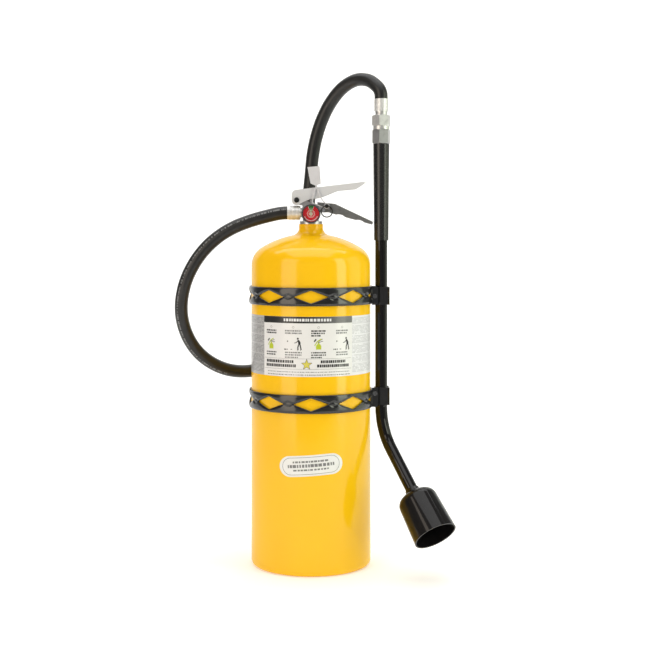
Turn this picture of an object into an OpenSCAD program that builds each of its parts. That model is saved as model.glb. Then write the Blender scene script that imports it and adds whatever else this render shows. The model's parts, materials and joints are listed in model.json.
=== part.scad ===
// Portable stored-pressure powder extinguisher: cylinder, squeeze valve with a
// gauge, hose, and a wand applicator held in two clips beside the cylinder.
// Frame: origin at the centre of the base on the floor, +Z up, front is -Y,
// the wand stands on the +X side. Millimetres.

/* [Cylinder] */
// Outside diameter of the cylinder
cyl_d = 203.2; // [150:0.2:260]
// Height of the straight wall, floor to dome
cyl_straight_h = 507; // [480:1:650]
// Wall of the drawn shell
shell_wall = 2; // [1.2:0.1:4]
// Radius of the dome's knuckle
knuckle_r = 35; // [20:1:45]
// Radius of the dome's crown
crown_r = 160; // [150:1:260]
// Outside corner radius at the foot
base_corner_r = 8; // [5:0.5:14]
// Rise of the dished bottom at its middle
base_rise = 16; // [6:1:30]
// Width of the foot ring that meets the floor
foot_w = 9.6; // [5:0.1:20]
// Height of the powder in the cylinder
powder_top = 432; // [200:1:470]

/* [Neck] */
// Outside diameter of the welded collar
collar_d = 41.2; // [38:0.2:56]
// Height of the collar above the top of the dome
collar_rise = 15.8; // [10:0.1:30]
// Bore of the collar
collar_bore_d = 26; // [24:0.1:28]
// Radius of the fillet from the collar into the dome
neck_fillet_r = 13; // [6:0.5:20]

/* [Valve] */
// Diameter of the valve's barrel
barrel_d = 27; // [24:0.5:34]
// Diameter of the valve's flange
flange_d = 39; // [34:0.5:50]
// Width of the valve's ear and handle lug
lug_w = 17.4; // [14:0.2:22]
// Diameter of the valve stem
stem_d = 8; // [6:0.2:9]
// Running clearance on the stem and pivots, on the radius
running_gap = 0.05; // [0.02:0.01:0.1]
// Travel of the stem
// Diameter of the lever's pivot pin
pivot_d = 6; // [4:0.2:8]

/* [Lever and handle] */
// Outside width of the lever
lever_w = 22; // [20:0.5:30]
// Thickness of the lever's steel
lever_wall = 2; // [1:0.1:2]
// Length of the lever past its pivot
lever_len = 120.5; // [100:0.5:126]
// Slope of the lever's top, degrees
lever_slope = 6.8; // [4:0.1:12]
// Thickness of the handle's steel
handle_wall = 2.2; // [1.2:0.1:3]
// Reach of the handle from the valve's axis
handle_reach = 105.5; // [90:0.5:106]

/* [Gauge] */
// Outside diameter of the bezel
bezel_d = 32; // [30:0.5:44]
// Width of the bezel's rim
bezel_rim = 2; // [2:0.1:5]

/* [Pull pin] */
// Diameter of the pin
pin_d = 4; // [3:0.1:5]
// Mean diameter of the pull ring
ring_d = 18.8; // [16:0.1:26]
// Diameter of the ring's wire
ring_wire_d = 2; // [1.4:0.1:2.4]

/* [Hose] */
// Outside diameter of the hose
hose_d = 22.5; // [16:0.5:24]
// Bore of the hose ends
barb_d = 12; // [8:0.2:12]
// Outside diameter of the crimped ferrules
ferrule_d = 23.5; // [22:0.1:28]

/* [Wand] */
// Gap from the cylinder to the wand's axis
wand_stand_off = 18.4; // [16:0.1:40]
// Outside diameter of the wand's tube
tube_d = 20.5; // [16:0.1:22]
// Wall of the wand's tube
tube_wall = 1.2; // [0.8:0.1:2]
// Height of the top of the wand's tube
tube_top_z = 714.3; // [690:0.1:730]
// Length of the grip sleeve
sleeve_len = 164.5; // [100:0.5:230]
// Outside diameter of the grip sleeve at its lower end
sleeve_d = 24.6; // [23:0.1:27]
// Outside diameter of the grip sleeve at its top
sleeve_top_d = 27.6; // [23:0.1:30]
// Height where the wand starts to bend
bend_z = 266; // [240:1:268]
// Radius of the bend
bend_r = 98; // [60:1:110]
// Angle of the bend
bend_angle = 43.5; // [30:0.5:60]
// Turn of the nozzle towards the front
nozzle_yaw = -56.5; // [-70:0.5:60]
// Length of the straight tube after the bend
outlet_len = 94; // [60:1:100]

/* [Nozzle cup] */
// Diameter of the cup at its shoulder
cup_shoulder_d = 66; // [50:1:76]
// Diameter of the cup at its mouth
cup_mouth_d = 72; // [56:1:90]
// Length of the cup
cup_len = 79; // [60:1:90]
// Wall of the cup
cup_wall = 2; // [1.2:0.1:3]
// Radius of the cup's shoulder
cup_shoulder_r = 15; // [6:1:18]

/* [Bands and clips] */
// Height of each band
band_h = 30; // [24:0.5:40]
// Thickness of the band's strip
band_t = 2; // [1:0.1:3]
// Gap between the cylinder and the strip
band_gap = 1; // [0.3:0.1:2]
// Middle height of the upper band
upper_band_z = 457; // [440:1:480]
// Middle height of the lower band
lower_band_z = 282; // [275:0.5:300]
// Half angle of each cut-out
cutout_half_angle = 16; // [8:0.5:18]
// Height of each cut-out
cutout_h = 21; // [10:0.5:24]
// Angle from one cut-out to the next
cutout_pitch = 41.5; // [38:0.1:60]
// Thickness of the clips' steel
clip_t = 1.6; // [1:0.1:2]
// Height of each clip
clip_h = 30; // [20:0.5:36]
// Gap between the tube and its clips
clip_gap = 0.35; // [0.3:0.05:0.8]
// Diameter of the clamp screws
screw_d = 4; // [3:0.1:5]

/* [Labels] */
// Middle height of the instruction label
label_z = 376; // [360:1:390]
// Height of the instruction label
label_h = 98; // [60:1:110]
// Angle that the instruction label covers
label_angle = 170; // [90:1:180]
// Thickness of the labels
label_t = 0.25; // [0.1:0.05:0.5]
// Middle height of the badge
badge_z = 182.6; // [100:1:220]
// Width of the badge
badge_w = 103; // [60:1:120]
// Height of the badge
badge_h = 34; // [20:1:50]
// Tilt of the badge
badge_tilt = 4; // [-10:0.5:10]

/* [Hidden] */
$fn = 64;
eps = 0.1;

cyl_r = cyl_d / 2;
crown_z = cyl_straight_h - sqrt(pow(crown_r - knuckle_r, 2) - pow(cyl_r - knuckle_r, 2));
dome_top = crown_z + crown_r;
seat_z = dome_top + collar_rise;
collar_r = collar_d / 2;
collar_bore_r = collar_bore_d / 2;
collar_depth = 8;
foot_inner_r = cyl_r - base_corner_r - foot_w;
dish_r = (pow(foot_inner_r, 2) + pow(base_rise, 2)) / (2 * base_rise);

// The valve's heights are measured from its seat on the collar.
thread_gap = 0.1;
spigot_r = collar_bore_r - thread_gap;
spigot_len = 29;
barrel_r = barrel_d / 2;
flange_h = 5;
barrel_top = 32;
bonnet_top = 35;
outlet_h = 19.5;
outlet_boss_len = barrel_r + 1.5;
stem_r = stem_d / 2;
seat_hole_r = stem_r + 1.2;
seat_face = 11.9;
lower_chamber_r = 9;
upper_chamber_r = stem_r + 2.5;
guide_z = 25;
stem_head_r = lower_chamber_r - 1.5;
stem_head_h = 3;
seat_washer_h = 2.1;
stem_ring_z = 31.5;
stem_ring_r = 0.85;
retainer_h = 8;
retainer_z = -spigot_len;
siphon_r = 8;
siphon_wall = 1.2;
siphon_socket = 10;
siphon_foot_gap = 8;
neck_ring_r = 0.97;
spring_wire_r = 0.7;
spring_turns = 7;
spring_r = 5.6;

// Lever: its outline is measured from the pivot.
pivot_x = -24.5;
pivot_h = 41;
pivot_r = pivot_d / 2;
lever_ear_r = 8.5;
ear_root_x = 0.3 - outlet_boss_len;
ear_under = outlet_h + ferrule_d / 2 + 0.6;
lever_corner_r = 8;
lever_corner = [-0.5, 9.4];
lever_tip_h = lever_corner.y + lever_corner_r + tan(lever_slope) * (lever_len - lever_corner.x);
lever_gap = 0.3;
pin_head_gap = 0.3;

// Handle: its outline is measured from the valve's axis and seat.
handle_start = max(barrel_r * cos(asin(lug_w / barrel_d)), 10) + 0.6;
handle_gap = 0.1;
handle_top_h = 37.5;
handle_break = [41, 34.5];
handle_tip_h = handle_break.y - 0.473 * (handle_reach - handle_break.x);
lug_top = 33;
lug_bottom = 20;
lug_end = 32;
rivet_r = 2;
rivets = [[15, 27], [20.5, 24]];

// Gauge: its depths are measured from the valve's axis along -Y.
gauge_h = 17;
gauge_boss_r = 8.5;
gauge_boss_len = 24;
gauge_thread_r = 5;
gauge_hex_h = 3.5;
gauge_back = gauge_boss_len + gauge_hex_h;
gauge_back_t = 2.5;
gauge_depth = 11.4;
bezel_r = bezel_d / 2;
bezel_t = 0.75;
case_r = bezel_r - bezel_t - handle_gap / 2;
lens_r = case_r - 0.8;
dial_r = case_r - 1.4;
gauge_front = gauge_back + gauge_back_t + gauge_depth;
lens_t = 1.2;
dial_t = 0.8;
arbor_r = 0.8;

// Pull pin.
pin_r = pin_d / 2;
pin_x = bezel_r + ring_d / 2 + ring_wire_d / 2 + 0.4;
// The hole in the front cheek of the handle, below the pin
root_hole = [pin_x + 5, 26.9];
root_hole_r = 3.4;
pin_h = 30.5;
pin_collar_r = pin_r + 1.2;
pin_face = lever_w / 2 + 0.3;
pin_collar_t = 1.2;
eye_y = pin_face + 5.2;
eye_r = ring_wire_d / 2 + 0.5;
pin_end = lever_w / 2 + 2;
seal_t = 1.6;
seal_strap_w = 1.8;

// Hose and couplings.
barb_r = barb_d / 2;
barb_gap = 0.05;
ferrule_r = ferrule_d / 2;
ferrule_len = 22.5;
fitting_neck = 3;
hose_sides = 10;
hose_end_z = 791;
wand_ferrule_len = 21.3;
nipple_neck_h = 6.7;
nipple_neck_r = 10.2;
nut_h = 18.6;
nut_af = 28.8;
nut_ring_h = 5.8;
nut_turn = 17;
joint_gap = 0.3;
adapter_af = 27.6;
adapter_turn = 15;

tube_r = tube_d / 2;
tube_bore_r = tube_r - tube_wall;
tube_sides = 32;
wand_x = cyl_r + wand_stand_off;
adapter_top_z = hose_end_z - wand_ferrule_len - nipple_neck_h - nut_h - nut_ring_h - joint_gap;

// Bands: angles are measured from the front towards the wand.
band_r = cyl_r + band_gap;
clip_in_r = tube_r + clip_gap;
clip_out_r = clip_in_r + clip_t;
clip_mouth = 11;
ear_t = 2;
tab_y = -(clip_out_r + clip_t + 1.65);
ear_reach = wand_stand_off - 6.2;
screw_x = cyl_r + 6.7;
screw_r = screw_d / 2;
upper_screw_z = upper_band_z - 2;
lower_screw_z = lower_band_z + 8;
upper_clip_z = upper_band_z - 2;
lower_clip_z = lower_band_z + 2.5;
nut_t = 2.6;
clamp_nut_af = 7;
clamp_head_r = 4;
last_cutout_edge = 80;

// Middle line of the hose from the valve's ferrule to the wand's ferrule.
hose_route = [
    [-40.5, 0, 596.5], [-56, 0, 595], [-80, 0, 589.5], [-107, 0, 581.5], [-134, 0, 570.5],
    [-159, 0, 555], [-181, 0, 535], [-199, 1, 511], [-213, 3, 483], [-221, 8, 454],
    [-223, 14, 426], [-219, 23, 399], [-209, 34, 373], [-193, 47, 350], [-171, 61, 332],
    [-145, 77, 320], [-116, 93, 316], [-87, 107, 320], [-60, 117, 332], [-38, 122, 352],
    [-20, 123, 378], [-8, 122, 408], [-2, 121, 441], [0, 120, 475], [0, 118, 509],
    [-1, 112, 541], [-3, 103, 573], [-4, 93, 604], [-3, 84, 636], [0, 79, 668],
    [3, 78, 699], [9, 76, 730], [19, 72, 761], [34, 65, 791], [54, 52, 815],
    [77, 36, 827.5], [98, 19, 825.5], [113, 6, 813.5], [119, 1, 802.5], [120, 0, 791]];

// ---- Helpers ---------------------------------------------------------------

function unit(v) = v / norm(v);

// A point on the smooth curve through p1 and p2, where t runs from 0 to 1.
function curve_point(p0, p1, p2, p3, t) =
    0.5 * (2 * p1 + (p2 - p0) * t + (2 * p0 - 5 * p1 + 4 * p2 - p3) * t * t
           + (3 * p1 - p0 - 3 * p2 + p3) * t * t * t);

function smooth_route(route, steps) = let (last = len(route) - 1) [
    for (i = [0:last - 1], s = [0:steps - 1])
        curve_point(route[max(i - 1, 0)], route[i], route[i + 1], route[min(i + 2, last)],
                    s / steps),
    route[last]];

function directions(points, start, finish) = let (last = len(points) - 1) [
    for (i = [0:last])
        i == 0 ? start : i == last ? finish : unit(points[i + 1] - points[i - 1])];

// A side direction carried along the curve without twisting.
function carried_sides(dirs) = let (last = len(dirs) - 1) [
    for (i = 0, side = unit(cross(dirs[0], [0.1, 0.9, 0.3]));
         i <= last;
         i = i + 1, side = unit(side - (side * dirs[min(i, last)]) * dirs[min(i, last)]))
        side];

// A round bar swept through points, with flat ends.
module swept_bar(points, start, finish, r, sides) {
    dirs = directions(points, start, finish);
    across = carried_sides(dirs);
    rings = [for (i = [0:len(points) - 1], k = [0:sides - 1])
        points[i] + r * (cos(360 * k / sides) * across[i]
                         + sin(360 * k / sides) * cross(dirs[i], across[i]))];
    walls = [for (i = [0:len(points) - 2], k = [0:sides - 1])
        let (a = i * sides + k, b = i * sides + (k + 1) % sides) [a, a + sides, b + sides, b]];
    first_cap = [for (k = [0:sides - 1]) k];
    last_cap = [for (k = [0:sides - 1]) len(points) * sides - 1 - k];
    polyhedron(rings, concat([first_cap, last_cap], walls), convexity = 10);
}

module ring(r_out, r_in, h) {
    difference() {
        cylinder(r = r_out, h = h);
        translate([0, 0, -eps]) cylinder(r = r_in, h = h + 2 * eps);
    }
}

module torus(mean_r, wire_r, sweep = 360) {
    rotate_extrude(angle = sweep) translate([mean_r, 0]) circle(r = wire_r);
}

module hex_bar(across_flats, h) {
    cylinder(r = across_flats / 2 / cos(30), h = h, $fn = 6);
}

// A hexagon whose corners are turned down by a cone at each end.
module chamfered_hex(across_flats, h) {
    corner = across_flats / 2 / cos(30);
    drop = (corner - across_flats / 2) * 0.7;
    intersection() {
        hex_bar(across_flats, h);
        rotate_extrude() polygon([[0, 0], [across_flats / 2, 0], [corner, drop],
                                  [corner, h - drop], [across_flats / 2, h], [0, h]]);
    }
}

module at_valve() { translate([0, 0, seat_z]) children(); }

// Depth along -Y becomes the child's +Z.
module forwards(x, z) { translate([x, 0, z]) rotate([90, 0, 0]) children(); }

// An outline in x and height, spread over a width either side of the middle.
module side_plate(width) { rotate([90, 0, 0]) linear_extrude(height = width, center = true) children(); }

module across_pin(x, z, r, half_length) {
    translate([x, half_length, z]) rotate([90, 0, 0]) cylinder(r = r, h = 2 * half_length);
}

module rod_between(a, b, r) {
    v = b - a;
    translate(a) rotate([0, acos(v.z / norm(v)), atan2(v.y, v.x)]) cylinder(r = r, h = norm(v));
}

// ---- Cylinder --------------------------------------------------------------

// Half section of the cylinder, drawn inwards by a wall.
module cylinder_section(inset) {
    r = cyl_r - inset;
    knuckle_x = cyl_r - knuckle_r;
    corner = base_corner_r - inset;
    lean = [knuckle_x, cyl_straight_h - crown_z] / (crown_r - knuckle_r);
    difference() {
        union() {
            translate([0, base_corner_r]) square([r, cyl_straight_h - base_corner_r]);
            translate([0, inset]) square([r - corner, base_corner_r]);
            translate([cyl_r - base_corner_r, base_corner_r]) circle(r = corner);
            intersection() {
                translate([knuckle_x, cyl_straight_h]) circle(r = knuckle_r - inset);
                translate([0, cyl_straight_h - knuckle_r]) square([r, 3 * knuckle_r]);
            }
            intersection() {
                translate([0, crown_z]) circle(r = crown_r - inset);
                polygon([[0, crown_z], [0, crown_z + 2 * crown_r],
                         [2 * crown_r * lean.x, crown_z + 2 * crown_r * lean.y]]);
            }
        }
        translate([0, base_rise - dish_r]) circle(r = dish_r + inset);
    }
}

module cylinder_shell() color("gold") {
    difference() {
        rotate_extrude() difference() {
            cylinder_section(0);
            cylinder_section(shell_wall);
        }
        translate([0, 0, dome_top - 4 * collar_depth]) cylinder(r = collar_r, h = 8 * collar_depth);
    }
}

// Height of the dome's crown at a distance from the axis.
function dome_z(x) = crown_z + sqrt(pow(crown_r, 2) - pow(x, 2));

module neck_collar() color("goldenrod") {
    low = dome_top - collar_depth;
    o_ring_seat = collar_bore_r + 3.9;
    fillet_x = collar_r + neck_fillet_r;
    fillet_z = crown_z + sqrt(pow(crown_r + neck_fillet_r, 2) - pow(fillet_x, 2));
    lean = atan2(fillet_z - crown_z, fillet_x);
    foot_angle = 180 + lean - 8;
    foot_r = fillet_x + neck_fillet_r * cos(foot_angle);
    steps = 6;
    rotate_extrude() polygon(concat(
        [[collar_bore_r, low], [collar_r, low]],
        [for (i = [0:steps]) let (r = collar_r + (foot_r - collar_r) * i / steps)
            [r, dome_z(r) + 0.02]],
        arc([fillet_x, fillet_z], neck_fillet_r, foot_angle, 180, 12),
        [[collar_r, seat_z], [o_ring_seat, seat_z], [o_ring_seat, seat_z - 2],
         [collar_bore_r, seat_z - 2]]));
}

module powder_charge() color("lavender") {
    difference() {
        intersection() {
            rotate_extrude() cylinder_section(shell_wall + 0.5);
            cylinder(r = cyl_r, h = powder_top);
        }
        cylinder(r = siphon_r + 0.3, h = powder_top + eps);
    }
}

module siphon_tube() color("gainsboro") {
    foot = base_rise + shell_wall + siphon_foot_gap;
    top = seat_z + retainer_z;
    translate([0, 0, foot]) ring(siphon_r, siphon_r - siphon_wall, top - foot);
}

module instruction_label() color("lightgray") {
    rotate([0, 0, -90 - label_angle / 2]) rotate_extrude(angle = label_angle)
        translate([cyl_r, label_z - label_h / 2]) square([label_t, label_h]);
}

module badge_label() color("white") {
    end_r = badge_h / 2;
    intersection() {
        translate([0, 0, badge_z - badge_h]) ring(cyl_r + label_t, cyl_r, 2 * badge_h);
        forwards(0, badge_z) rotate([0, 0, badge_tilt])
            linear_extrude(height = cyl_d) {
                square([badge_w - badge_h, badge_h], center = true);
                for (side = [-1, 1]) translate([side * (badge_w / 2 - end_r), 0]) circle(r = end_r);
            }
    }
}

// ---- Valve -----------------------------------------------------------------

module valve_body() color("silver") at_valve() {
    difference() {
        union() {
            translate([0, 0, -spigot_len]) cylinder(r = spigot_r, h = spigot_len + eps);
            cylinder(r = flange_d / 2, h = flange_h);
            cylinder(r = barrel_r, h = barrel_top);
            cylinder(r = lug_w / 2 - 0.3, h = bonnet_top);
            translate([0, 0, outlet_h]) rotate([0, -90, 0]) cylinder(r = 9.5, h = outlet_boss_len);
            forwards(0, gauge_h) cylinder(r = gauge_boss_r, h = gauge_boss_len);
            side_plate(lug_w) {
                translate([pivot_x, pivot_h]) circle(r = lever_ear_r - 0.5);
                polygon([[-11, 14], [ear_root_x, 14], [ear_root_x, ear_under],
                         [pivot_x - 6, pivot_h - 5], [pivot_x + 6, pivot_h + 5],
                         [4, bonnet_top - 1], [4, 14]]);
                translate([0, lug_bottom]) square([lug_end, lug_top - lug_bottom]);
            }
        }
        translate([0, 0, -spigot_len - eps])
            cylinder(r = lower_chamber_r, h = spigot_len + seat_face + eps);
        cylinder(r = seat_hole_r, h = guide_z);
        translate([0, 0, seat_face + 2]) cylinder(r = upper_chamber_r, h = guide_z - seat_face - 2);
        cylinder(r = stem_r + running_gap, h = pivot_h);
        translate([0, 0, outlet_h]) rotate([0, -90, 0]) {
            cylinder(r = 5, h = outlet_boss_len + eps);
            translate([0, 0, 7.5]) cylinder(r = 6.5, h = outlet_boss_len);
        }
        forwards(0, gauge_h) translate([0, 0, gauge_boss_len - 8]) cylinder(r = gauge_thread_r, h = 9);
        rod_between([0, -lower_chamber_r + 2, gauge_h - 9], [0, -gauge_boss_len + 7, gauge_h], 1.2);
        across_pin(pivot_x, pivot_h, pivot_r, lever_w);
        across_pin(pin_x, pin_h, pin_r + running_gap, lever_w);
        for (p = rivets) across_pin(p.x, p.y, rivet_r, lever_w);
    }
}

module neck_o_ring() color("black") {
    translate([0, 0, seat_z - neck_ring_r - 0.03]) torus(spigot_r + neck_ring_r + 1, neck_ring_r);
}

module spring_retainer() color("tan") at_valve() {
    translate([0, 0, retainer_z]) {
        ring(lower_chamber_r - thread_gap, siphon_r - siphon_wall, retainer_h);
        translate([0, 0, -3]) ring(spigot_r, siphon_r + thread_gap, 3);
        translate([0, 0, -siphon_socket])
            ring(siphon_r + 2.5, siphon_r + thread_gap, siphon_socket - 2);
    }
}

module valve_spring() color("silver") at_valve() {
    low = retainer_z + retainer_h + spring_wire_r;
    high = seat_face - seat_washer_h - stem_head_h - spring_wire_r;
    steps = 18;
    path = [for (i = [0:spring_turns * steps])
        let (a = 360 * i / steps)
            [spring_r * cos(a), spring_r * sin(a), low + (high - low) * i / (spring_turns * steps)]];
    swept_bar(path, [0, 1, 0], [0, 1, 0], spring_wire_r, 6);
}

module valve_stem() color("silver") at_valve() {
    head_z = seat_face - seat_washer_h - stem_head_h;
    top = pivot_h + lever_web_h(-pivot_x) - lever_gap;
    difference() {
        union() {
            translate([0, 0, head_z]) cylinder(r = stem_head_r, h = stem_head_h);
            translate([0, 0, head_z]) cylinder(r = stem_r, h = top - stem_r - head_z);
            translate([0, 0, top - stem_r]) sphere(r = stem_r);
        }
        translate([0, 0, stem_ring_z - 1]) ring(stem_r + 1, stem_r - 1.8, 2);
    }
}

module stem_seat() color("black") at_valve() {
    translate([0, 0, seat_face - seat_washer_h])
        ring(stem_head_r - 0.5, stem_r, seat_washer_h - 0.1);
}

module stem_o_ring() color("black") at_valve() {
    translate([0, 0, stem_ring_z]) torus(stem_r - stem_ring_r, stem_ring_r);
}

// ---- Lever and handle ------------------------------------------------------

// Height of the underside of the lever's web above the pivot.
function lever_web_h(x) = lever_corner.y + lever_corner_r + tan(lever_slope) * (x - lever_corner.x)
                          - lever_wall / cos(lever_slope);

// Points along an arc, from angle a to angle b.
function arc(centre, r, a, b, steps = 8) =
    [for (i = [0:steps]) centre + r * [cos(a + (b - a) * i / steps), sin(a + (b - a) * i / steps)]];

module lever_outline() {
    tip = [lever_len, lever_tip_h];
    polygon(concat(
        arc([0, 0], lever_ear_r, 300, 180),
        arc(lever_corner, lever_corner_r, 180, 90 + lever_slope),
        [tip, tip + [-2, -2], tip + [-19, -13], tip + [-50, -16],
         [45, 5.5], [34.5, 3], [24.5, 2], [12, -3]]));
}

module operating_lever() color("silver") at_valve() {
    end_r = 7;
    translate([pivot_x, 0, pivot_h]) difference() {
        intersection() {
            side_plate(lever_w) lever_outline();
            translate([-lever_w, 0, -lever_w]) linear_extrude(height = 4 * lever_w) {
                translate([0, -lever_w / 2]) square([lever_len + lever_w - end_r, lever_w]);
                translate([0, end_r - lever_w / 2]) square([lever_len + lever_w, lever_w - 2 * end_r]);
                for (side = [-1, 1])
                    translate([lever_len + lever_w - end_r, side * (lever_w / 2 - end_r)])
                        circle(r = end_r);
            }
        }
        translate([0, 0, -lever_wall / cos(lever_slope)])
            side_plate(lever_w - 2 * lever_wall) lever_outline();
        across_pin(0, 0, pivot_r + running_gap, lever_w);
    }
}

module lever_pivot_pin() color("dimgray") at_valve() {
    reach = lever_w / 2 + pin_head_gap;
    across_pin(pivot_x, pivot_h, pivot_r, reach + 1);
    for (side = [-1, 1])
        translate([pivot_x, side * (reach + 0.8), pivot_h]) rotate([90, 0, 0])
            cylinder(r = pivot_r + 1.5, h = 1.6, center = true);
}

module handle_outline() {
    difference() {
        polygon([[handle_start, lug_bottom + 1], [handle_start, handle_top_h], handle_break,
                 [handle_reach, handle_tip_h], [handle_reach - 1, handle_tip_h - 4.5],
                 [34, 19], [lug_end - 3, lug_bottom + 1]]);
        translate([47, 0]) circle(r = 17);
        translate([80, -9.5]) circle(r = 17);
    }
}

module carry_handle() color("gray") at_valve() {
    difference() {
        side_plate(lever_w) handle_outline();
        translate([0, 0, -handle_wall]) side_plate(lug_w + 2 * handle_gap) handle_outline();
        across_pin(pin_x, pin_h, pin_r + running_gap, lever_w);
        forwards(root_hole.x, root_hole.y) cylinder(r = root_hole_r, h = lever_w);
        for (p = rivets) across_pin(p.x, p.y, rivet_r, lever_w);
    }
}

module handle_rivets() color("dimgray") at_valve() {
    for (p = rivets) {
        across_pin(p.x, p.y, rivet_r, lever_w / 2 + 0.6);
        for (side = [-1, 1])
            translate([p.x, side * (lever_w / 2 + 0.6), p.y]) rotate([90, 0, 0])
                cylinder(r = rivet_r + 1.4, h = 1.2, center = true);
    }
}

// ---- Pull pin --------------------------------------------------------------

module pull_pin() color("silver") at_valve() {
    difference() {
        union() {
            translate([pin_x, pin_end, pin_h]) rotate([90, 0, 0]) cylinder(r = pin_r, h = pin_end + pin_face);
            forwards(pin_x, pin_h) translate([0, 0, pin_face]) {
                cylinder(r = pin_collar_r + 0.8, h = pin_collar_t);
                cylinder(r = pin_collar_r, h = eye_y - pin_face + 3);
            }
        }
        translate([pin_x - 10, -eye_y, pin_h]) rotate([0, 90, 0]) cylinder(r = eye_r, h = 20);
    }
}

module pull_ring() color("silver") at_valve() {
    translate([pin_x, -eye_y, pin_h - ring_d / 2 + 0.2]) rotate([90, 0, 0])
        torus(ring_d / 2, ring_wire_d / 2);
}

// A strap in the seal's own plane.
module strap(a, b) {
    v = b - a;
    translate(a) rotate([0, 0, atan2(v.y, v.x)]) translate([0, -seal_strap_w / 2])
        square([norm(v), seal_strap_w]);
}

module tamper_seal() color("gainsboro") at_valve() {
    depth = pin_face + pin_collar_t + 0.4 + seal_t / 2;
    knot = [9, 66];
    left = [1.7, 37];
    right = [17.6, 43];
    eye = [pin_x, pin_h];
    translate([0, -depth, 0]) side_plate(seal_t) difference() {
        union() {
            polygon([[-6.1, 96.7], [-0.8, 69], [7.4, 65.4], [16.7, 68.3], [14.6, 98.5]]);
            strap(knot, left);
            strap(knot, right);
            strap(right, eye + [-2, pin_collar_r + 1]);
            strap(left + [0, -0.5], eye + [-4, -pin_collar_r]);
            translate(eye) circle(r = pin_collar_r + 1.8);
        }
        translate(eye) circle(r = pin_collar_r + 0.2);
    }
}

// ---- Gauge -----------------------------------------------------------------

module at_gauge(depth) { at_valve() forwards(0, gauge_h) translate([0, 0, depth]) children(); }

module gauge_case() color("silver") at_gauge(0) {
    floor_z = gauge_back + gauge_back_t;
    post_h = 6;
    difference() {
        union() {
            translate([0, 0, gauge_boss_len - 7]) cylinder(r = gauge_thread_r - running_gap, h = 8);
            translate([0, 0, gauge_boss_len]) hex_bar(15, gauge_hex_h + eps);
            translate([0, 0, gauge_back]) cylinder(r = case_r, h = gauge_back_t + gauge_depth);
        }
        translate([0, 0, floor_z]) cylinder(r = dial_r + 0.1, h = gauge_depth + eps);
        translate([0, 0, gauge_front - lens_t]) cylinder(r = lens_r, h = lens_t + eps);
        translate([0, 0, gauge_boss_len - 8]) cylinder(r = 1.5, h = 9);
    }
    translate([0, 0, floor_z - eps]) ring(2.5, arbor_r + running_gap, post_h + eps);
}

module bourdon_tube() color("darkgoldenrod") at_gauge(gauge_back + gauge_back_t + 3.5) {
    rotate([0, 0, -135]) torus(dial_r - 4.2, 1.6, 270);
    rotate([0, 0, -131]) translate([dial_r - 4.2, 0, -3.5]) cylinder(r = 1.3, h = 3);
}

module gauge_dial() color("red") at_gauge(gauge_front - 5.2) ring(dial_r, arbor_r + 0.6, dial_t);

module gauge_needle() color("khaki") at_gauge(0) {
    blade = 0.6;
    z = gauge_front - 2.9;
    tip = dial_r - 3.2;
    translate([0, 0, gauge_back + gauge_back_t + 1]) cylinder(r = arbor_r, h = z - gauge_back - gauge_back_t);
    translate([0, 0, z - 0.3]) cylinder(r = 2, h = 1.1);
    translate([0, 0, z]) linear_extrude(height = blade)
        polygon([[-1.1, -4.5], [1.1, -4.5], [0.35, tip], [-0.35, tip]]);
}

module gauge_lens() color("lightcyan", 0.4) at_gauge(gauge_front - lens_t)
    cylinder(r = lens_r - running_gap, h = lens_t);

module gauge_bezel() color("silver") at_gauge(0) {
    skirt = 8;
    translate([0, 0, gauge_front]) ring(bezel_r, bezel_r - bezel_rim, 1.2);
    translate([0, 0, gauge_front - skirt]) ring(bezel_r, bezel_r - bezel_t, skirt + eps);
}

// ---- Hose and couplings ----------------------------------------------------

module outlet_fitting() color("silver") at_valve() translate([0, 0, outlet_h]) rotate([0, -90, 0]) {
    difference() {
        union() {
            translate([0, 0, 8]) cylinder(r = 6.5 - thread_gap, h = outlet_boss_len - 8 + eps);
            translate([0, 0, outlet_boss_len]) cylinder(r = 8, h = fitting_neck);
            translate([0, 0, outlet_boss_len]) cylinder(r = barb_r, h = fitting_neck + ferrule_len - 2);
        }
        translate([0, 0, 7]) cylinder(r = 4.2, h = outlet_boss_len + ferrule_len + fitting_neck);
    }
}

module valve_ferrule() color("lightgray") at_valve() translate([0, 0, outlet_h]) rotate([0, -90, 0])
    translate([0, 0, outlet_boss_len + fitting_neck]) ring(ferrule_r, barb_r + barb_gap, ferrule_len);

module hose() color("dimgray") {
    swept_bar(smooth_route(hose_route, 2), [-1, 0, 0], [0, 0, -1], hose_d / 2, hose_sides);
}

module at_wand(z) { translate([wand_x, 0, z]) children(); }

module wand_ferrule() color("lightgray") at_wand(hose_end_z - wand_ferrule_len)
    ring(ferrule_r, barb_r + barb_gap, wand_ferrule_len);

module hose_nipple() color("silver") at_wand(hose_end_z - wand_ferrule_len - nipple_neck_h) {
    difference() {
        union() {
            cylinder(r = barb_r, h = nipple_neck_h + wand_ferrule_len - 2);
            cylinder(r = nipple_neck_r, h = nipple_neck_h);
            translate([0, 0, -nut_h]) cylinder(r = 8, h = nut_h + eps);
            translate([0, 0, -nut_h]) cylinder(r = 10.5, h = 3.6);
        }
        translate([0, 0, -nut_h - eps]) cylinder(r = 4.2, h = nut_h + nipple_neck_h + wand_ferrule_len);
    }
}

module swivel_nut() color("silver") at_wand(hose_end_z - wand_ferrule_len - nipple_neck_h - nut_h) {
    difference() {
        union() {
            rotate([0, 0, nut_turn]) chamfered_hex(nut_af, nut_h);
            translate([0, 0, -nut_ring_h]) cylinder(r = nut_af / 2 - 0.5, h = nut_ring_h + eps);
        }
        translate([0, 0, -eps]) cylinder(r = 10.7, h = 3.9);
        translate([0, 0, -nut_ring_h - eps]) cylinder(r = 10.2, h = nut_ring_h + 2 * eps);
        cylinder(r = 8.1, h = nut_h + eps);
    }
}

// ---- Wand ------------------------------------------------------------------

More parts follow.
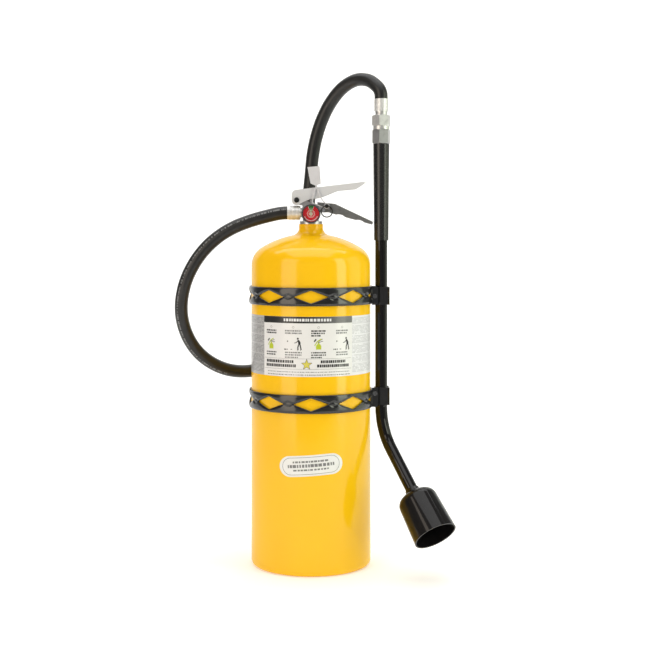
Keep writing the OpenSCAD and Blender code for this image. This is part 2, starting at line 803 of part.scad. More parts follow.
module wand_adapter() color("silver") at_wand(tube_top_z) {
    h = adapter_top_z - tube_top_z;
    difference() {
        union() {
            rotate([0, 0, adapter_turn]) chamfered_hex(adapter_af, h);
            cylinder(r = 10.12, h = h + nut_ring_h - joint_gap);
            translate([0, 0, -12]) cylinder(r = tube_bore_r, h = 12 + eps);
        }
        translate([0, 0, -12 - eps]) cylinder(r = 5, h = h + nut_ring_h + 13);
    }
}

// The nozzle's own frame: origin where the tube meets the cup, +Z outwards.
module along_nozzle() {
    at_wand(bend_z) rotate([0, 0, nozzle_yaw])
        translate([bend_r * (1 - cos(bend_angle)), 0, -bend_r * sin(bend_angle)])
            rotate([0, 180 - bend_angle, 0]) translate([0, 0, outlet_len]) children();
}

// A round pipe swept through points, open at both ends.
module swept_pipe(points, start, finish, r_out, r_in, sides) {
    dirs = directions(points, start, finish);
    across = carried_sides(dirs);
    count = len(points);
    rings = [for (r = [r_out, r_in], i = [0:count - 1], k = [0:sides - 1])
        points[i] + r * (cos(360 * k / sides) * across[i]
                         + sin(360 * k / sides) * cross(dirs[i], across[i]))];
    outer = [for (i = [0:count - 2], k = [0:sides - 1])
        let (a = i * sides + k, b = i * sides + (k + 1) % sides) [a, a + sides, b + sides, b]];
    inner = [for (f = outer) [for (k = [3:-1:0]) f[k] + count * sides]];
    ends = [for (i = [0, count - 1], k = [0:sides - 1])
        let (a = i * sides + k, b = i * sides + (k + 1) % sides, far = count * sides)
            i == 0 ? [a, b, b + far, a + far] : [b, a, a + far, b + far]];
    polyhedron(rings, concat(outer, inner, ends), convexity = 10);
}

module wand_tube() color("black") {
    steps = 10;
    lean = [cos(nozzle_yaw), sin(nozzle_yaw), 0];
    outward = sin(bend_angle) * lean - [0, 0, cos(bend_angle)];
    bend = [for (i = [0:steps]) let (a = bend_angle * i / steps)
        [wand_x, 0, bend_z] + bend_r * ((1 - cos(a)) * lean - [0, 0, sin(a)])];
    path = concat([[wand_x, 0, tube_top_z]], bend, [bend[steps] + (outlet_len + cup_wall + 4) * outward]);
    swept_pipe(path, [0, 0, -1], outward, tube_r, tube_bore_r / cos(180 / tube_sides), tube_sides);
}

module grip_sleeve() color("black") at_wand(tube_top_z - 0.3 - sleeve_len) {
    difference() {
        cylinder(r1 = sleeve_d / 2, r2 = sleeve_top_d / 2, h = sleeve_len);
        translate([0, 0, -eps]) cylinder(r = tube_r, h = sleeve_len + 2 * eps);
    }
}

module cup_collar() color("black") along_nozzle() {
    h = 10;
    difference() {
        translate([0, 0, -h]) cylinder(r1 = tube_r + 1.5, r2 = tube_r + 4, h = h);
        translate([0, 0, -h - eps]) cylinder(r = tube_r, h = h + 2 * eps);
    }
}

module cup_section(inset, over) {
    shoulder = cup_shoulder_d / 2;
    flat = shoulder - cup_shoulder_r;
    translate([flat, cup_shoulder_r]) circle(r = cup_shoulder_r - inset);
    polygon([[0, inset], [flat, inset], [shoulder - inset, cup_shoulder_r],
             [cup_mouth_d / 2 - inset, cup_len + over], [0, cup_len + over]]);
}

module nozzle_cup() color("black") along_nozzle() {
    difference() {
        rotate_extrude() intersection() {
            difference() {
                cup_section(0, 0);
                cup_section(cup_wall, 1);
            }
            square([cup_mouth_d, cup_len]);
        }
        translate([0, 0, -eps]) cylinder(r = tube_r, h = cup_wall + 2 * eps);
    }
}

// ---- Bands and clips -------------------------------------------------------

module diamond_cutter(angle) {
    half_w = band_r * sin(cutout_half_angle);
    rotate([0, 0, angle - 90]) translate([cyl_r - 5, 0, 0]) rotate([90, 0, 90])
        linear_extrude(height = 15)
            polygon([[-half_w, 0], [0, -cutout_h / 2], [half_w, 0], [0, cutout_h / 2]]);
}

module ear(y, reach) {
    start = sqrt(pow(band_r + 0.4, 2) - pow(y + ear_t / 2, 2));
    translate([start, y, -band_h / 2]) cube([cyl_r + reach - start, ear_t, band_h]);
}

// A perforated strip round the cylinder, with its two ends turned out.
module band(z, screw_z) {
    difference() {
        translate([0, 0, z]) {
            difference() {
                translate([0, 0, -band_h / 2]) ring(band_r + band_t, band_r, band_h);
                for (k = [-6:1]) diamond_cutter(k * cutout_pitch);
                intersection() {
                    diamond_cutter(2 * cutout_pitch);
                    rotate([0, 0, last_cutout_edge - 90]) translate([0, -cyl_d, -band_h])
                        cube([cyl_d, cyl_d, 2 * band_h]);
                }
                translate([cyl_r - 5, tab_y, -band_h]) cube([20, clip_t, 2 * band_h]);
            }
            ear(tab_y - ear_t, ear_reach);
            ear(tab_y + clip_t, ear_reach - 1.8);
        }
        across_pin(screw_x, screw_z, screw_r, -tab_y + 10);
    }
}

module upper_band() color("black") band(upper_band_z, upper_screw_z);
module lower_band() color("black") band(lower_band_z, lower_screw_z);

// The clip's bent strip: half round behind the tube, with straight sides and flared lips.
module clip_strip() {
    lip = clip_mouth + 2.5;
    polygon(concat(
        [[lip, clip_in_r + 1.6], [lip, clip_out_r + 1.8], [clip_mouth, clip_out_r]],
        arc([0, 0], clip_out_r, 90, 270, 24),
        [[clip_mouth, -clip_out_r], [lip, -clip_out_r - 1.8], [lip, -clip_in_r - 1.6],
         [clip_mouth, -clip_in_r]],
        arc([0, 0], clip_in_r, 270, 90, 24),
        [[clip_mouth, clip_in_r]]));
}

// A spring clip open away from the cylinder, with the tab that the band holds.
module clip(z, screw_z) {
    link_x = wand_x - cyl_r - ear_reach;
    link_in = clip_in_r * sin(acos(link_x / clip_in_r)) + 0.6;
    difference() {
        translate([0, 0, z - clip_h / 2]) linear_extrude(height = clip_h) {
            translate([wand_x, 0]) clip_strip();
            translate([cyl_r + 1.9, tab_y]) square([ear_reach - 1.9, clip_t]);
            translate([wand_x - link_x - clip_t, tab_y]) square([clip_t, -tab_y - link_in]);
        }
        across_pin(screw_x, screw_z, screw_r, -tab_y + 10);
    }
}

module upper_clip() color("black") clip(upper_clip_z, upper_screw_z);
module lower_clip() color("black") clip(lower_clip_z, lower_screw_z);

module clamp_screws() color("silver") {
    face = -tab_y + ear_t;
    for (z = [upper_screw_z, lower_screw_z]) forwards(screw_x, z) {
        translate([0, 0, -tab_y - clip_t - ear_t - nut_t - 0.4])
            cylinder(r = screw_r, h = face + tab_y + clip_t + ear_t + nut_t + 0.5);
        translate([0, 0, face]) cylinder(r = clamp_head_r, h = 2.8);
    }
}

module clamp_nuts() color("silver") {
    for (z = [upper_screw_z, lower_screw_z])
        forwards(screw_x, z) translate([0, 0, -tab_y - clip_t - ear_t - nut_t]) difference() {
            rotate([0, 0, 30]) hex_bar(clamp_nut_af, nut_t);
            translate([0, 0, -eps]) cylinder(r = screw_r, h = nut_t + 2 * eps);
        }
}

cylinder_shell();
neck_collar();
powder_charge();
siphon_tube();
instruction_label();
badge_label();
valve_body();
neck_o_ring();
spring_retainer();
valve_spring();
valve_stem();
stem_seat();
stem_o_ring();
operating_lever();
lever_pivot_pin();
carry_handle();
handle_rivets();
pull_pin();
pull_ring();
tamper_seal();
gauge_case();
bourdon_tube();
gauge_dial();
gauge_needle();
gauge_lens();
gauge_bezel();
outlet_fitting();
valve_ferrule();
hose();
wand_ferrule();
hose_nipple();
swivel_nut();
wand_adapter();
wand_tube();
grip_sleeve();
cup_collar();
nozzle_cup();
upper_band();
lower_band();
upper_clip();
lower_clip();
clamp_screws();
clamp_nuts();
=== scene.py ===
"""A hand-carried dry-powder fire extinguisher with a clipped wand, dressed for a studio picture."""

import json
import math
import random

import bmesh
import bpy
from mathutils import Matrix, Vector


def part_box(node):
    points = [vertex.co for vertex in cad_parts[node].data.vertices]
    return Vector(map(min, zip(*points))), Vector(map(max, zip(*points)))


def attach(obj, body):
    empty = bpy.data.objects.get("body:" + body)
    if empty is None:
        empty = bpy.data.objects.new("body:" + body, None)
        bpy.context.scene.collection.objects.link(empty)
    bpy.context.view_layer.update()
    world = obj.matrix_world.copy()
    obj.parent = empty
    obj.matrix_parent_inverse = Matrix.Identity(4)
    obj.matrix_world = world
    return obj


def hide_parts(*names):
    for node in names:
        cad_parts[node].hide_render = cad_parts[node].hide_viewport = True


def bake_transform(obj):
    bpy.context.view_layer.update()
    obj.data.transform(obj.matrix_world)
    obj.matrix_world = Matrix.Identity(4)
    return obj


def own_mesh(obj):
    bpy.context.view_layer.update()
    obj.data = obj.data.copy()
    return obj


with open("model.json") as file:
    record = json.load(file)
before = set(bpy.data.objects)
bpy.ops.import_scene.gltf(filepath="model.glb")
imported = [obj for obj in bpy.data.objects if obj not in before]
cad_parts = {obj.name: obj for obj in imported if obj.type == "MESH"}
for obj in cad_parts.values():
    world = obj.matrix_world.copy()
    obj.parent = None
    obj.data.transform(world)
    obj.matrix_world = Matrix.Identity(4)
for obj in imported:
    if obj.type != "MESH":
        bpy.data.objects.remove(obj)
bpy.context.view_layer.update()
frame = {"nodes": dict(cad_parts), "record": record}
nodes = frame["nodes"]

X_AXIS, Y_AXIS = Vector((1, 0, 0)), Vector((0, 1, 0))
FRONT = -Y_AXIS

# ---------------------------------------------------------------- camera

SENSOR_MM, LENS_MM = 36.0, 68.954
CAMERA_AT = Vector((0.0, -2.128, 0.550))
# How far the frame is shifted, as a part of its width: to the right, and down.
SHIFT_RIGHT, SHIFT_DOWN = 0.02154, 0.13077


def place_camera():
    """A level camera a little above the dome, so the uprights stay parallel."""
    data = bpy.data.cameras.new("studio_camera")
    data.sensor_width = SENSOR_MM
    data.lens = LENS_MM
    data.shift_x = SHIFT_RIGHT
    data.shift_y = -SHIFT_DOWN
    camera = bpy.data.objects.new("studio_camera", data)
    camera.location = CAMERA_AT
    camera.rotation_euler = (-FRONT).to_track_quat("-Z", "Y").to_euler()
    bpy.context.scene.collection.objects.link(camera)
    bpy.context.scene.camera = camera


place_camera()

# ---------------------------------------------------------------- shared mesh helpers


def add_object(name, mesh):
    """Puts a mesh in the scene under a name."""
    piece = bpy.data.objects.new(name, mesh)
    bpy.context.scene.collection.objects.link(piece)
    return piece


def from_bmesh(name, form, smooth=True):
    """Turns a bmesh into a named object with its faces shaded smooth or flat."""
    mesh = bpy.data.meshes.new(name)
    form.to_mesh(mesh)
    form.free()
    mesh.polygons.foreach_set("use_smooth", [smooth] * len(mesh.polygons))
    return add_object(name, mesh)


def finish_mesh(piece):
    """Replaces a piece's modifiers by the plain mesh that they make."""
    graph = bpy.context.evaluated_depsgraph_get()
    made = bpy.data.meshes.new_from_object(piece.evaluated_get(graph))
    made.name = piece.name
    piece.modifiers.clear()
    piece.data = made


def crease(piece, degrees=35):
    """Keeps edges sharper than an angle sharp on a smooth-shaded piece."""
    form = bmesh.new()
    form.from_mesh(piece.data)
    limit = math.radians(degrees)
    for edge in form.edges:
        if len(edge.link_faces) == 2 and edge.calc_face_angle(0) > limit:
            edge.smooth = False
    form.to_mesh(piece.data)
    form.free()


# ---------------------------------------------------------------- hose

HOSE_DIAMETER = 0.0225
HOSE_STEPS = 8
HOSE_SIDES = 24
HOSE_EXIT = (-0.0405, 0, 0.5965)
HOSE_ROUTE = [
    HOSE_EXIT, (-0.056, 0, 0.595), (-0.080, 0, 0.5895), (-0.107, 0, 0.5815),
    (-0.134, 0, 0.5705), (-0.159, 0, 0.555), (-0.181, 0, 0.535), (-0.199, 0.001, 0.511),
    (-0.213, 0.003, 0.483), (-0.221, 0.008, 0.454), (-0.223, 0.014, 0.426),
    (-0.219, 0.023, 0.399), (-0.209, 0.034, 0.373), (-0.193, 0.047, 0.350),
    (-0.171, 0.061, 0.332), (-0.145, 0.077, 0.320), (-0.116, 0.093, 0.316),
    (-0.087, 0.107, 0.320), (-0.060, 0.117, 0.332), (-0.038, 0.122, 0.352),
    (-0.020, 0.123, 0.378), (-0.008, 0.122, 0.408), (-0.002, 0.121, 0.441),
    (0, 0.120, 0.475), (0, 0.118, 0.509), (-0.001, 0.112, 0.541), (-0.003, 0.103, 0.573),
    (-0.004, 0.093, 0.604), (-0.003, 0.084, 0.636), (0, 0.079, 0.668), (0.003, 0.078, 0.699),
    (0.009, 0.076, 0.730), (0.019, 0.072, 0.761), (0.034, 0.065, 0.791),
    (0.054, 0.052, 0.815), (0.077, 0.036, 0.8275), (0.098, 0.019, 0.8255),
    (0.113, 0.006, 0.8135), (0.119, 0.001, 0.8025), (0.120, 0, 0.791),
]


def curve_through(points, steps):
    """Points close together on the smooth curve that passes through a route."""
    route = [Vector(p) for p in points]
    last = len(route) - 1
    line = []
    for i in range(last):
        a, b, c, d = (route[min(max(k, 0), last)] for k in (i - 1, i, i + 1, i + 2))
        for step in range(steps):
            t = step / steps
            line.append(0.5 * (2 * b + (c - a) * t + (2 * a - 5 * b + 4 * c - d) * t * t
                               + (3 * b - a - 3 * c + d) * t ** 3))
    line.append(route[last])
    return line


def line_length(line):
    """The length of a line of points."""
    return sum((b - a).length for a, b in zip(line, line[1:]))


def tube_along(name, line, radius_at, sides, first, last):
    """A closed tube on a line. Its UV map holds the distance along it in metres and the turn
    round it from 0 to 1, where 0.5 faces the front."""
    form = bmesh.new()
    uv = form.loops.layers.uv.new("along_around")
    rings, travelled, along = [], [], 0.0
    for i, here in enumerate(line):
        if i:
            along += (here - line[i - 1]).length
        travelled.append(along)
        heading = first if i == 0 else last if i == len(line) - 1 else line[i + 1] - line[i - 1]
        heading = Vector(heading).normalized()
        facing = (FRONT - heading * FRONT.dot(heading)).normalized()
        across = heading.cross(facing)
        ring = []
        for k in range(sides):
            turn = 2 * math.pi * k / sides + math.pi
            ring.append(form.verts.new(
                here + (facing * math.cos(turn) + across * math.sin(turn)) * radius_at(along)))
        rings.append(ring)
    for i in range(len(rings) - 1):
        for k in range(sides):
            n = (k + 1) % sides
            face = form.faces.new((rings[i][k], rings[i][n], rings[i + 1][n], rings[i + 1][k]))
            corners = ((i, k), (i, k + 1), (i + 1, k + 1), (i + 1, k))
            for loop, (at, side) in zip(face.loops, corners):
                loop[uv].uv = (travelled[at], side / sides)
    form.faces.new(tuple(reversed(rings[0])))
    form.faces.new(tuple(rings[-1]))
    bmesh.ops.recalc_face_normals(form, faces=form.faces[:])
    return from_bmesh(name, form)


hose_line = curve_through(HOSE_ROUTE, HOSE_STEPS)
hose_length = line_length(hose_line)
hose = tube_along("rubber_hose", hose_line, lambda along: HOSE_DIAMETER / 2, HOSE_SIDES,
                  (-1, 0, 0), (0, 0, -1))
crease(hose, 60)

# ---------------------------------------------------------------- finishes


class Value:
    """A number that changes over a surface, worked with ordinary arithmetic."""

    def __init__(self, finish, socket):
        self.finish, self.socket = finish, socket

    def math(self, operation, *others):
        inputs = {k: v for k, v in enumerate((self, *others))}
        return self.finish.node("ShaderNodeMath", {"operation": operation}, inputs)

    def __add__(self, other):
        return self.math("ADD", other)

    __radd__ = __add__

    def __mul__(self, other):
        return self.math("MULTIPLY", other)

    __rmul__ = __mul__

    def __sub__(self, other):
        return self.math("SUBTRACT", other)

    def __rsub__(self, other):
        return self * -1.0 + other

    def __truediv__(self, other):
        return self.math("DIVIDE", other)

    def fade(self, low, high):
        """0 below low and 1 above high, with a smooth rise between."""
        settings = {"interpolation_type": "SMOOTHSTEP"}
        inputs = {"Value": self, "From Min": low, "From Max": high}
        return self.finish.node("ShaderNodeMapRange", settings, inputs)

    def near(self, centre, reach, soft):
        """1 within reach of centre, fading out over soft."""
        return 1.0 - (self - centre).math("ABSOLUTE").fade(reach, reach + soft)


class Finish:
    """A procedural material on Object coordinates, or on a piece's own UV map."""

    def __init__(self, name, colour, roughness, metallic=0.0, uv_map=None, **fixed):
        self.material = bpy.data.materials.new(name)
        self.material.use_nodes = True
        self.tree = self.material.node_tree
        self.shader = self.tree.nodes["Principled BSDF"]
        self.shader.inputs["Base Color"].default_value = (*colour, 1)
        self.shader.inputs["Roughness"].default_value = roughness
        self.shader.inputs["Metallic"].default_value = metallic
        for socket, value in fixed.items():
            self.shader.inputs[socket.replace("_", " ")].default_value = value
        self.heights = []
        if uv_map:
            self.place = self.node("ShaderNodeUVMap", {"uv_map": uv_map}, {}, "UV")
        else:
            self.place = self.node("ShaderNodeTexCoord", {}, {}, "Object")

    def node(self, kind, settings, inputs, output=0):
        """One node: its type, its settings, then its sockets' values or links."""
        made = self.tree.nodes.new(kind)
        for key, value in settings.items():
            setattr(made, key, value)
        for key, value in inputs.items():
            if isinstance(value, Value):
                self.tree.links.new(value.socket, made.inputs[key])
            else:
                made.inputs[key].default_value = value
        return Value(self, made.outputs[output])

    def part(self, axis):
        """One of the coordinates."""
        return self.node("ShaderNodeSeparateXYZ", {}, {"Vector": self.place}, axis)

    def scaled(self, x, y, z):
        """The coordinates stretched."""
        return self.node("ShaderNodeMapping", {}, {"Vector": self.place, "Scale": (x, y, z)})

    def noise(self, scale, detail=3.0, rough=0.5, place=None):
        """Cloudy noise, from 0 to 1."""
        inputs = {"Vector": place or self.place, "Scale": scale,
                  "Detail": detail, "Roughness": rough}
        return self.node("ShaderNodeTexNoise", {}, inputs, "Fac")

    def cells(self, scale):
        """The distance to the middle of the nearest random cell."""
        inputs = {"Vector": self.place, "Scale": scale}
        return self.node("ShaderNodeTexVoronoi", {}, inputs, "Distance")

    def mix(self, factor, first, second):
        """Blends two colours, each a link or three numbers."""
        settings = {"data_type": "RGBA"}
        pair = [c if isinstance(c, Value) else (*c, 1) for c in (first, second)]
        return self.node("ShaderNodeMix", settings, {0: factor, 6: pair[0], 7: pair[1]}, 2)

    def set(self, socket, value):
        """Links a value or colour to the shader."""
        self.tree.links.new(value.socket, self.shader.inputs[socket])

    def relief(self, height, depth):
        """Adds a height from 0 to 1 as bump of a real depth in metres."""
        inputs = {"Height": height, "Distance": depth, "Strength": 1.0}
        if self.heights:
            inputs["Normal"] = self.heights[-1]
        self.heights.append(self.node("ShaderNodeBump", {}, inputs, "Normal"))
        self.set("Normal", self.heights[-1])


def grey(level):
    """A colour with no hue."""
    return (level, level, level)


finishes = {}


def painted(name, colour, dark, roughness, coat, peel, coat_rough, shine, gloss):
    """Sprayed enamel: slight orange peel, faint mottling, dust and fine rub marks."""
    f = Finish(name, colour, roughness, Coat_Weight=coat, Coat_Roughness=coat_rough,
               Coat_IOR=gloss, Specular_IOR_Level=shine)
    broad = f.noise(9.0, 2.0)
    rubs = f.noise(260.0, 4.0, 0.6, f.scaled(1, 1, 0.06))
    wear = broad.fade(0.35, 0.75) * 0.5 + rubs.fade(0.66, 0.82) * 0.25
    f.set("Base Color", f.mix(wear, colour, dark))
    f.set("Roughness", roughness + (rubs - 0.5) * 0.10 + (broad - 0.5) * 0.06)
    f.relief(f.noise(420.0, 2.0), peel)
    finishes[name] = f


def metal(name, colour, dark, roughness, grain, bump, stretch=(1, 1, 1), pits=0.0, solid=1.0):
    """Plated or cast metal: grain, small stains, softer and sharper patches of shine."""
    f = Finish(name, colour, roughness, solid)
    fine = f.noise(grain, 4.0, 0.6, f.scaled(*stretch))
    stain = f.noise(75.0, 3.0, 0.6)
    marks = stain.fade(0.45, 0.8) * 0.6 + fine.fade(0.55, 0.85) * 0.3
    f.set("Base Color", f.mix(marks, colour, dark))
    f.set("Roughness", roughness + (fine - 0.5) * 0.22 + (stain - 0.5) * 0.14)
    f.relief(fine, bump)
    if pits:
        f.relief(f.cells(grain * 0.35).fade(0.0, 0.5), pits)
    finishes[name] = f


def dull(name, colour, light, roughness, grain, bump, shine=0.25):
    """Rubber, moulded plastic or powder: fine grain with a little dust in it."""
    f = Finish(name, colour, roughness, Specular_IOR_Level=shine)
    fine = f.noise(grain, 3.0)
    dust = f.noise(38.0, 4.0, 0.65)
    f.set("Base Color", f.mix(dust.fade(0.5, 0.8) * 0.5 + fine.fade(0.6, 0.8) * 0.3, colour, light))
    f.set("Roughness", roughness + (fine - 0.5) * 0.16 + (dust - 0.5) * 0.1)
    f.relief(fine, bump)
    finishes[name] = f


YELLOW = (0.960, 0.545, 0.0035)
painted("yellow_enamel", YELLOW, (0.940, 0.505, 0.0030), 0.38, 0.42, 0.00003, 0.14, 0.03, 1.75)
painted("band_enamel", grey(0.0055), grey(0.010), 0.34, 0.55, 0.00003, 0.12, 0.20, 1.8)
painted("wand_enamel", (0.0040, 0.0034, 0.0038), grey(0.006), 0.30, 0.40, 0.00001, 0.04, 0.05, 1.7)
painted("cup_plastic", (0.0060, 0.0050, 0.0052), grey(0.009), 0.30, 0.36, 0.00002, 0.05, 0.08, 1.6)
dull("sleeve_plastic", grey(0.009), grey(0.016), 0.27, 900.0, 0.00001, 0.55)
dull("seal_rubber", grey(0.020), grey(0.040), 0.60, 700.0, 0.00004)
dull("seal_plastic", (0.62, 0.61, 0.64), (0.50, 0.49, 0.52), 0.34, 120.0, 0.00002)
dull("powder", (0.55, 0.52, 0.58), (0.75, 0.73, 0.78), 0.90, 1400.0, 0.0004)
metal("plated_steel", grey(0.62), grey(0.42), 0.24, 520.0, 0.00002)
metal("lever_steel", (0.84, 0.84, 0.86), (0.80, 0.79, 0.82), 0.36, 620.0, 0.000004, solid=0.42)
metal("handle_steel", grey(0.26), grey(0.12), 0.46, 620.0, 0.00012, pits=0.00006)
metal("valve_alloy", (0.52, 0.51, 0.52), grey(0.30), 0.40, 520.0, 0.00010, pits=0.00006)
metal("coupling_steel", (0.70, 0.70, 0.69), grey(0.40), 0.40, 480.0, 0.00004, solid=0.8)
metal("ferrule_steel", (0.80, 0.80, 0.79), grey(0.60), 0.42, 420.0, 0.00003, solid=0.6)
metal("adapter_steel", (0.56, 0.56, 0.56), grey(0.30), 0.38, 700.0, 0.00010, (1, 1, 0.18))
metal("screw_steel", grey(0.20), grey(0.10), 0.22, 600.0, 0.00002)
metal("wire_steel", grey(0.06), grey(0.03), 0.34, 700.0, 0.00002)
metal("bezel_steel", grey(0.22), (0.16, 0.10, 0.10), 0.30, 700.0, 0.00002)
metal("spring_steel", (0.55, 0.55, 0.56), grey(0.35), 0.28, 900.0, 0.00001)
metal("bourdon_brass", (0.66, 0.47, 0.20), (0.42, 0.28, 0.11), 0.30, 700.0, 0.00001)


# Where the hose's printed dashes are: their turn round it, and how far along they stop.
PRINT_TURN, PRINT_END = 0.59, 0.42
# The weave of its cover, in radians: per metre along it, and once round it.
WEAVE_STEPS = 2600.0
WEAVE_TURNS = 37.699


def hose_cover():
    """Smooth black cover with the faint cloth mark of its wrapping, some dust, and painted sheen:
    long lighter grey streaks along it.
    """
    f = Finish("hose_rubber", grey(0.014), 0.46, uv_map="along_around", Specular_IOR_Level=0.45)
    along, around = f.part("X"), f.part("Y")
    wraps = (along * WEAVE_STEPS + around * WEAVE_TURNS).math("SINE") * 0.5 + 0.5
    warps = (along * WEAVE_STEPS - around * WEAVE_TURNS).math("SINE") * 0.5 + 0.5
    dust = f.noise(1.0, 4.0, 0.6, f.scaled(60.0, 5.0, 1.0))
    # Painted sheen: long lighter grey streaks along the hose, mixed with the real dust into its
    # colour.
    sheen_streak = f.noise(1.0, 3.0, 0.6, f.scaled(9.0, 22.0, 1.0))
    dust_and_sheen = dust.fade(0.45, 0.85) * 0.7 + sheen_streak.fade(0.5, 0.8) * 0.5
    rubber = f.mix(dust_and_sheen, grey(0.012), grey(0.024))
    broken = f.noise(1.0, 0.0, 0.0, f.scaled(640.0, 3.0, 1.0)).fade(0.46, 0.52)
    printed = 1.0 - along.fade(PRINT_END, PRINT_END + 0.01)
    row = around.near(PRINT_TURN, 0.016, 0.010) * printed
    f.set("Base Color", f.mix(broken * row * 0.8, rubber, grey(0.20)))
    f.set("Roughness", 0.36 + (dust - 0.5) * 0.18)
    f.relief(wraps * warps, 0.00007)
    f.relief(dust, 0.00006)
    finishes["hose_rubber"] = f


hose_cover()


# Gauge face: bands of colour by distance and angle from the middle.
GAUGE_AT = Vector((0, 0, 0.594))
DIAL_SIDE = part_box("gauge_dial")[1].x
# Half of the green part's angle, and how closely the marks follow each other round the face.
GREEN_HALF = 0.36
TICKS_PER_RADIAN, LEGEND_PER_RADIAN = 9.5493, 14.0


def polar(f, centre):
    """The distance from a centre in the X-Z plane, and the clockwise angle from straight up."""
    x = f.part("X") - centre.x
    z = f.part("Z") - centre.z
    distance = (x * x + z * z).math("SQRT")
    return distance, x.math("ARCTAN2", z)


def dial_print():
    """A red face with a green part at the top, a pale middle, ticks and a row of marks."""
    f = Finish("dial_face", (0.78, 0.76, 0.72), 0.35)
    distance, angle = polar(f, GAUGE_AT)
    out = distance / DIAL_SIDE
    ring = out.fade(0.20, 0.24)
    green = angle.near(0.0, GREEN_HALF, 0.02)
    red = f.mix(f.noise(900.0, 2.0), (0.80, 0.016, 0.030), (0.66, 0.012, 0.022))
    band = f.mix(green, red, (0.05, 0.30, 0.06))
    middle = f.mix(f.noise(700.0, 2.0), (0.80, 0.78, 0.74), (0.70, 0.68, 0.64))
    face = f.mix(ring, middle, band)
    away = angle.math("ABSOLUTE")
    tick = (angle * TICKS_PER_RADIAN).math("FRACT").near(0.5, 0.20, 0.03)
    letter = (angle * LEGEND_PER_RADIAN).math("FRACT").near(0.5, 0.32, 0.03)
    legend = away.fade(1.9, 2.0) * letter * out.near(0.84, 0.05, 0.01)
    ticks = tick * out.near(0.42, 0.07, 0.01) + legend
    limits = away.near(GREEN_HALF, 0.03, 0.01) * out.near(0.75, 0.2, 0.01)
    outer = out.fade(0.97, 0.98)
    marks = f.mix((ticks + limits).fade(0.2, 0.8), face, (0.85, 0.84, 0.80))
    f.set("Base Color", f.mix(outer, marks, grey(0.03)))
    f.set("Roughness", 0.34 + (f.noise(300.0) - 0.5) * 0.1)
    f.relief(f.noise(1600.0), 0.00001)
    finishes["dial_face"] = f


def needle_paint():
    """Pale brass with a little tarnish."""
    f = Finish("needle_brass", (0.78, 0.72, 0.52), 0.34, 0.4)
    stain = f.noise(600.0, 3.0)
    f.set("Base Color", f.mix(stain, (0.82, 0.77, 0.58), (0.62, 0.55, 0.36)))
    f.set("Roughness", 0.3 + (stain - 0.5) * 0.2)
    f.relief(stain, 0.00001)
    finishes["needle_brass"] = f


def lens_glass():
    """A clear window with a few wipe marks."""
    f = Finish("gauge_lens", (0.97, 0.98, 0.98), 0.04, Transmission_Weight=1.0, IOR=1.05)
    smear = f.noise(160.0, 3.0, 0.6, f.scaled(1, 1, 0.3))
    f.set("Base Color", f.mix(smear.fade(0.5, 0.8) * 0.5, (0.98, 0.99, 0.99), (0.92, 0.94, 0.94)))
    f.set("Roughness", 0.03 + smear.fade(0.5, 0.9) * 0.05)
    f.relief(smear, 0.000004)
    finishes["gauge_lens"] = f


dial_print()
needle_paint()
lens_glass()

# Label film: fine rows of print in the two side columns, a plain middle.
LABEL_LOW, LABEL_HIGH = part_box("instruction_label")
PANEL_LEFT, PANEL_RIGHT = math.radians(-49.5), math.radians(41.6)


def printed_rows(f, angle, height, row_height, letters):
    """1 where rows of small broken marks are, like the look of fine print from afar."""
    row = height / row_height
    line = row.math("FRACT").near(0.45, 0.20, 0.08)
    step = row.math("FLOOR")
    place = f.node("ShaderNodeCombineXYZ", {}, {"X": angle * letters, "Y": step * 7.31, "Z": 0.0})
    word = f.noise(1.0, 0.0, 0.0, place).fade(0.36, 0.44)
    letter = f.noise(6.0, 0.0, 0.0, place).fade(0.30, 0.60)
    paragraph = (step / 7.0).math("FLOOR")
    block = f.node("ShaderNodeCombineXYZ", {}, {"X": 0.0, "Y": paragraph * 3.7, "Z": 1.0})
    part = f.noise(1.0, 0.0, 0.0, block).fade(0.30, 0.36)
    return line * word * part * (letter * 0.5 + 0.5)


COLUMN_ROW, COLUMN_LETTERS = 0.0021, 26.0


def label_film():
    """Pale film: a plain middle panel, and fine rows of print in the columns beside it."""
    f = Finish("label", (0.60, 0.60, 0.60), 0.38, Coat_Weight=0.25, Coat_Roughness=0.15)
    x, y, z = f.part("X"), f.part("Y"), f.part("Z")
    angle = x.math("ARCTAN2", y * -1.0)
    past_left = angle.fade(PANEL_LEFT, PANEL_LEFT + 0.004)
    inside = past_left * (1.0 - angle.fade(PANEL_RIGHT, PANEL_RIGHT + 0.004))
    middle, half = (LABEL_LOW.z + LABEL_HIGH.z) / 2, (LABEL_HIGH.z - LABEL_LOW.z) / 2
    margin = z.near(middle, half - 0.003, 0.0005)
    rows = printed_rows(f, angle, z, COLUMN_ROW, COLUMN_LETTERS) * margin
    gap = ((z + 0.001) / 0.0158).math("FRACT").near(0.5, 0.42, 0.03)
    paper = f.mix(x.fade(-0.06, 0.06), grey(0.46), (0.80, 0.79, 0.82))
    faint = 0.8 - x.fade(-0.06, 0.06) * 0.35
    side = f.mix(rows * gap * faint, paper, (0.08, 0.08, 0.09))
    f.set("Base Color", f.mix(inside, side, (0.80, 0.79, 0.78)))
    f.set("Roughness", 0.36 + (f.noise(60.0) - 0.5) * 0.12)
    f.relief(f.noise(120.0, 2.0), 0.00004)
    finishes["label"] = f


def badge_film():
    """Pale film with faint wear."""
    f = Finish("badge", (0.80, 0.80, 0.78), 0.34, Coat_Weight=0.3, Coat_Roughness=0.1)
    wear = f.noise(90.0, 3.0)
    f.set("Base Color", f.mix(wear.fade(0.5, 0.8) * 0.4, (0.82, 0.82, 0.80), (0.70, 0.70, 0.68)))
    f.set("Roughness", 0.32 + (wear - 0.5) * 0.12)
    f.relief(f.noise(150.0, 2.0), 0.00003)
    finishes["badge"] = f


label_film()
badge_film()

# --------------------------------------------------------------- finishes on the carried-over parts

slot_of = {row["node"]: row["material_slot"] for row in frame["record"]["subparts"]}


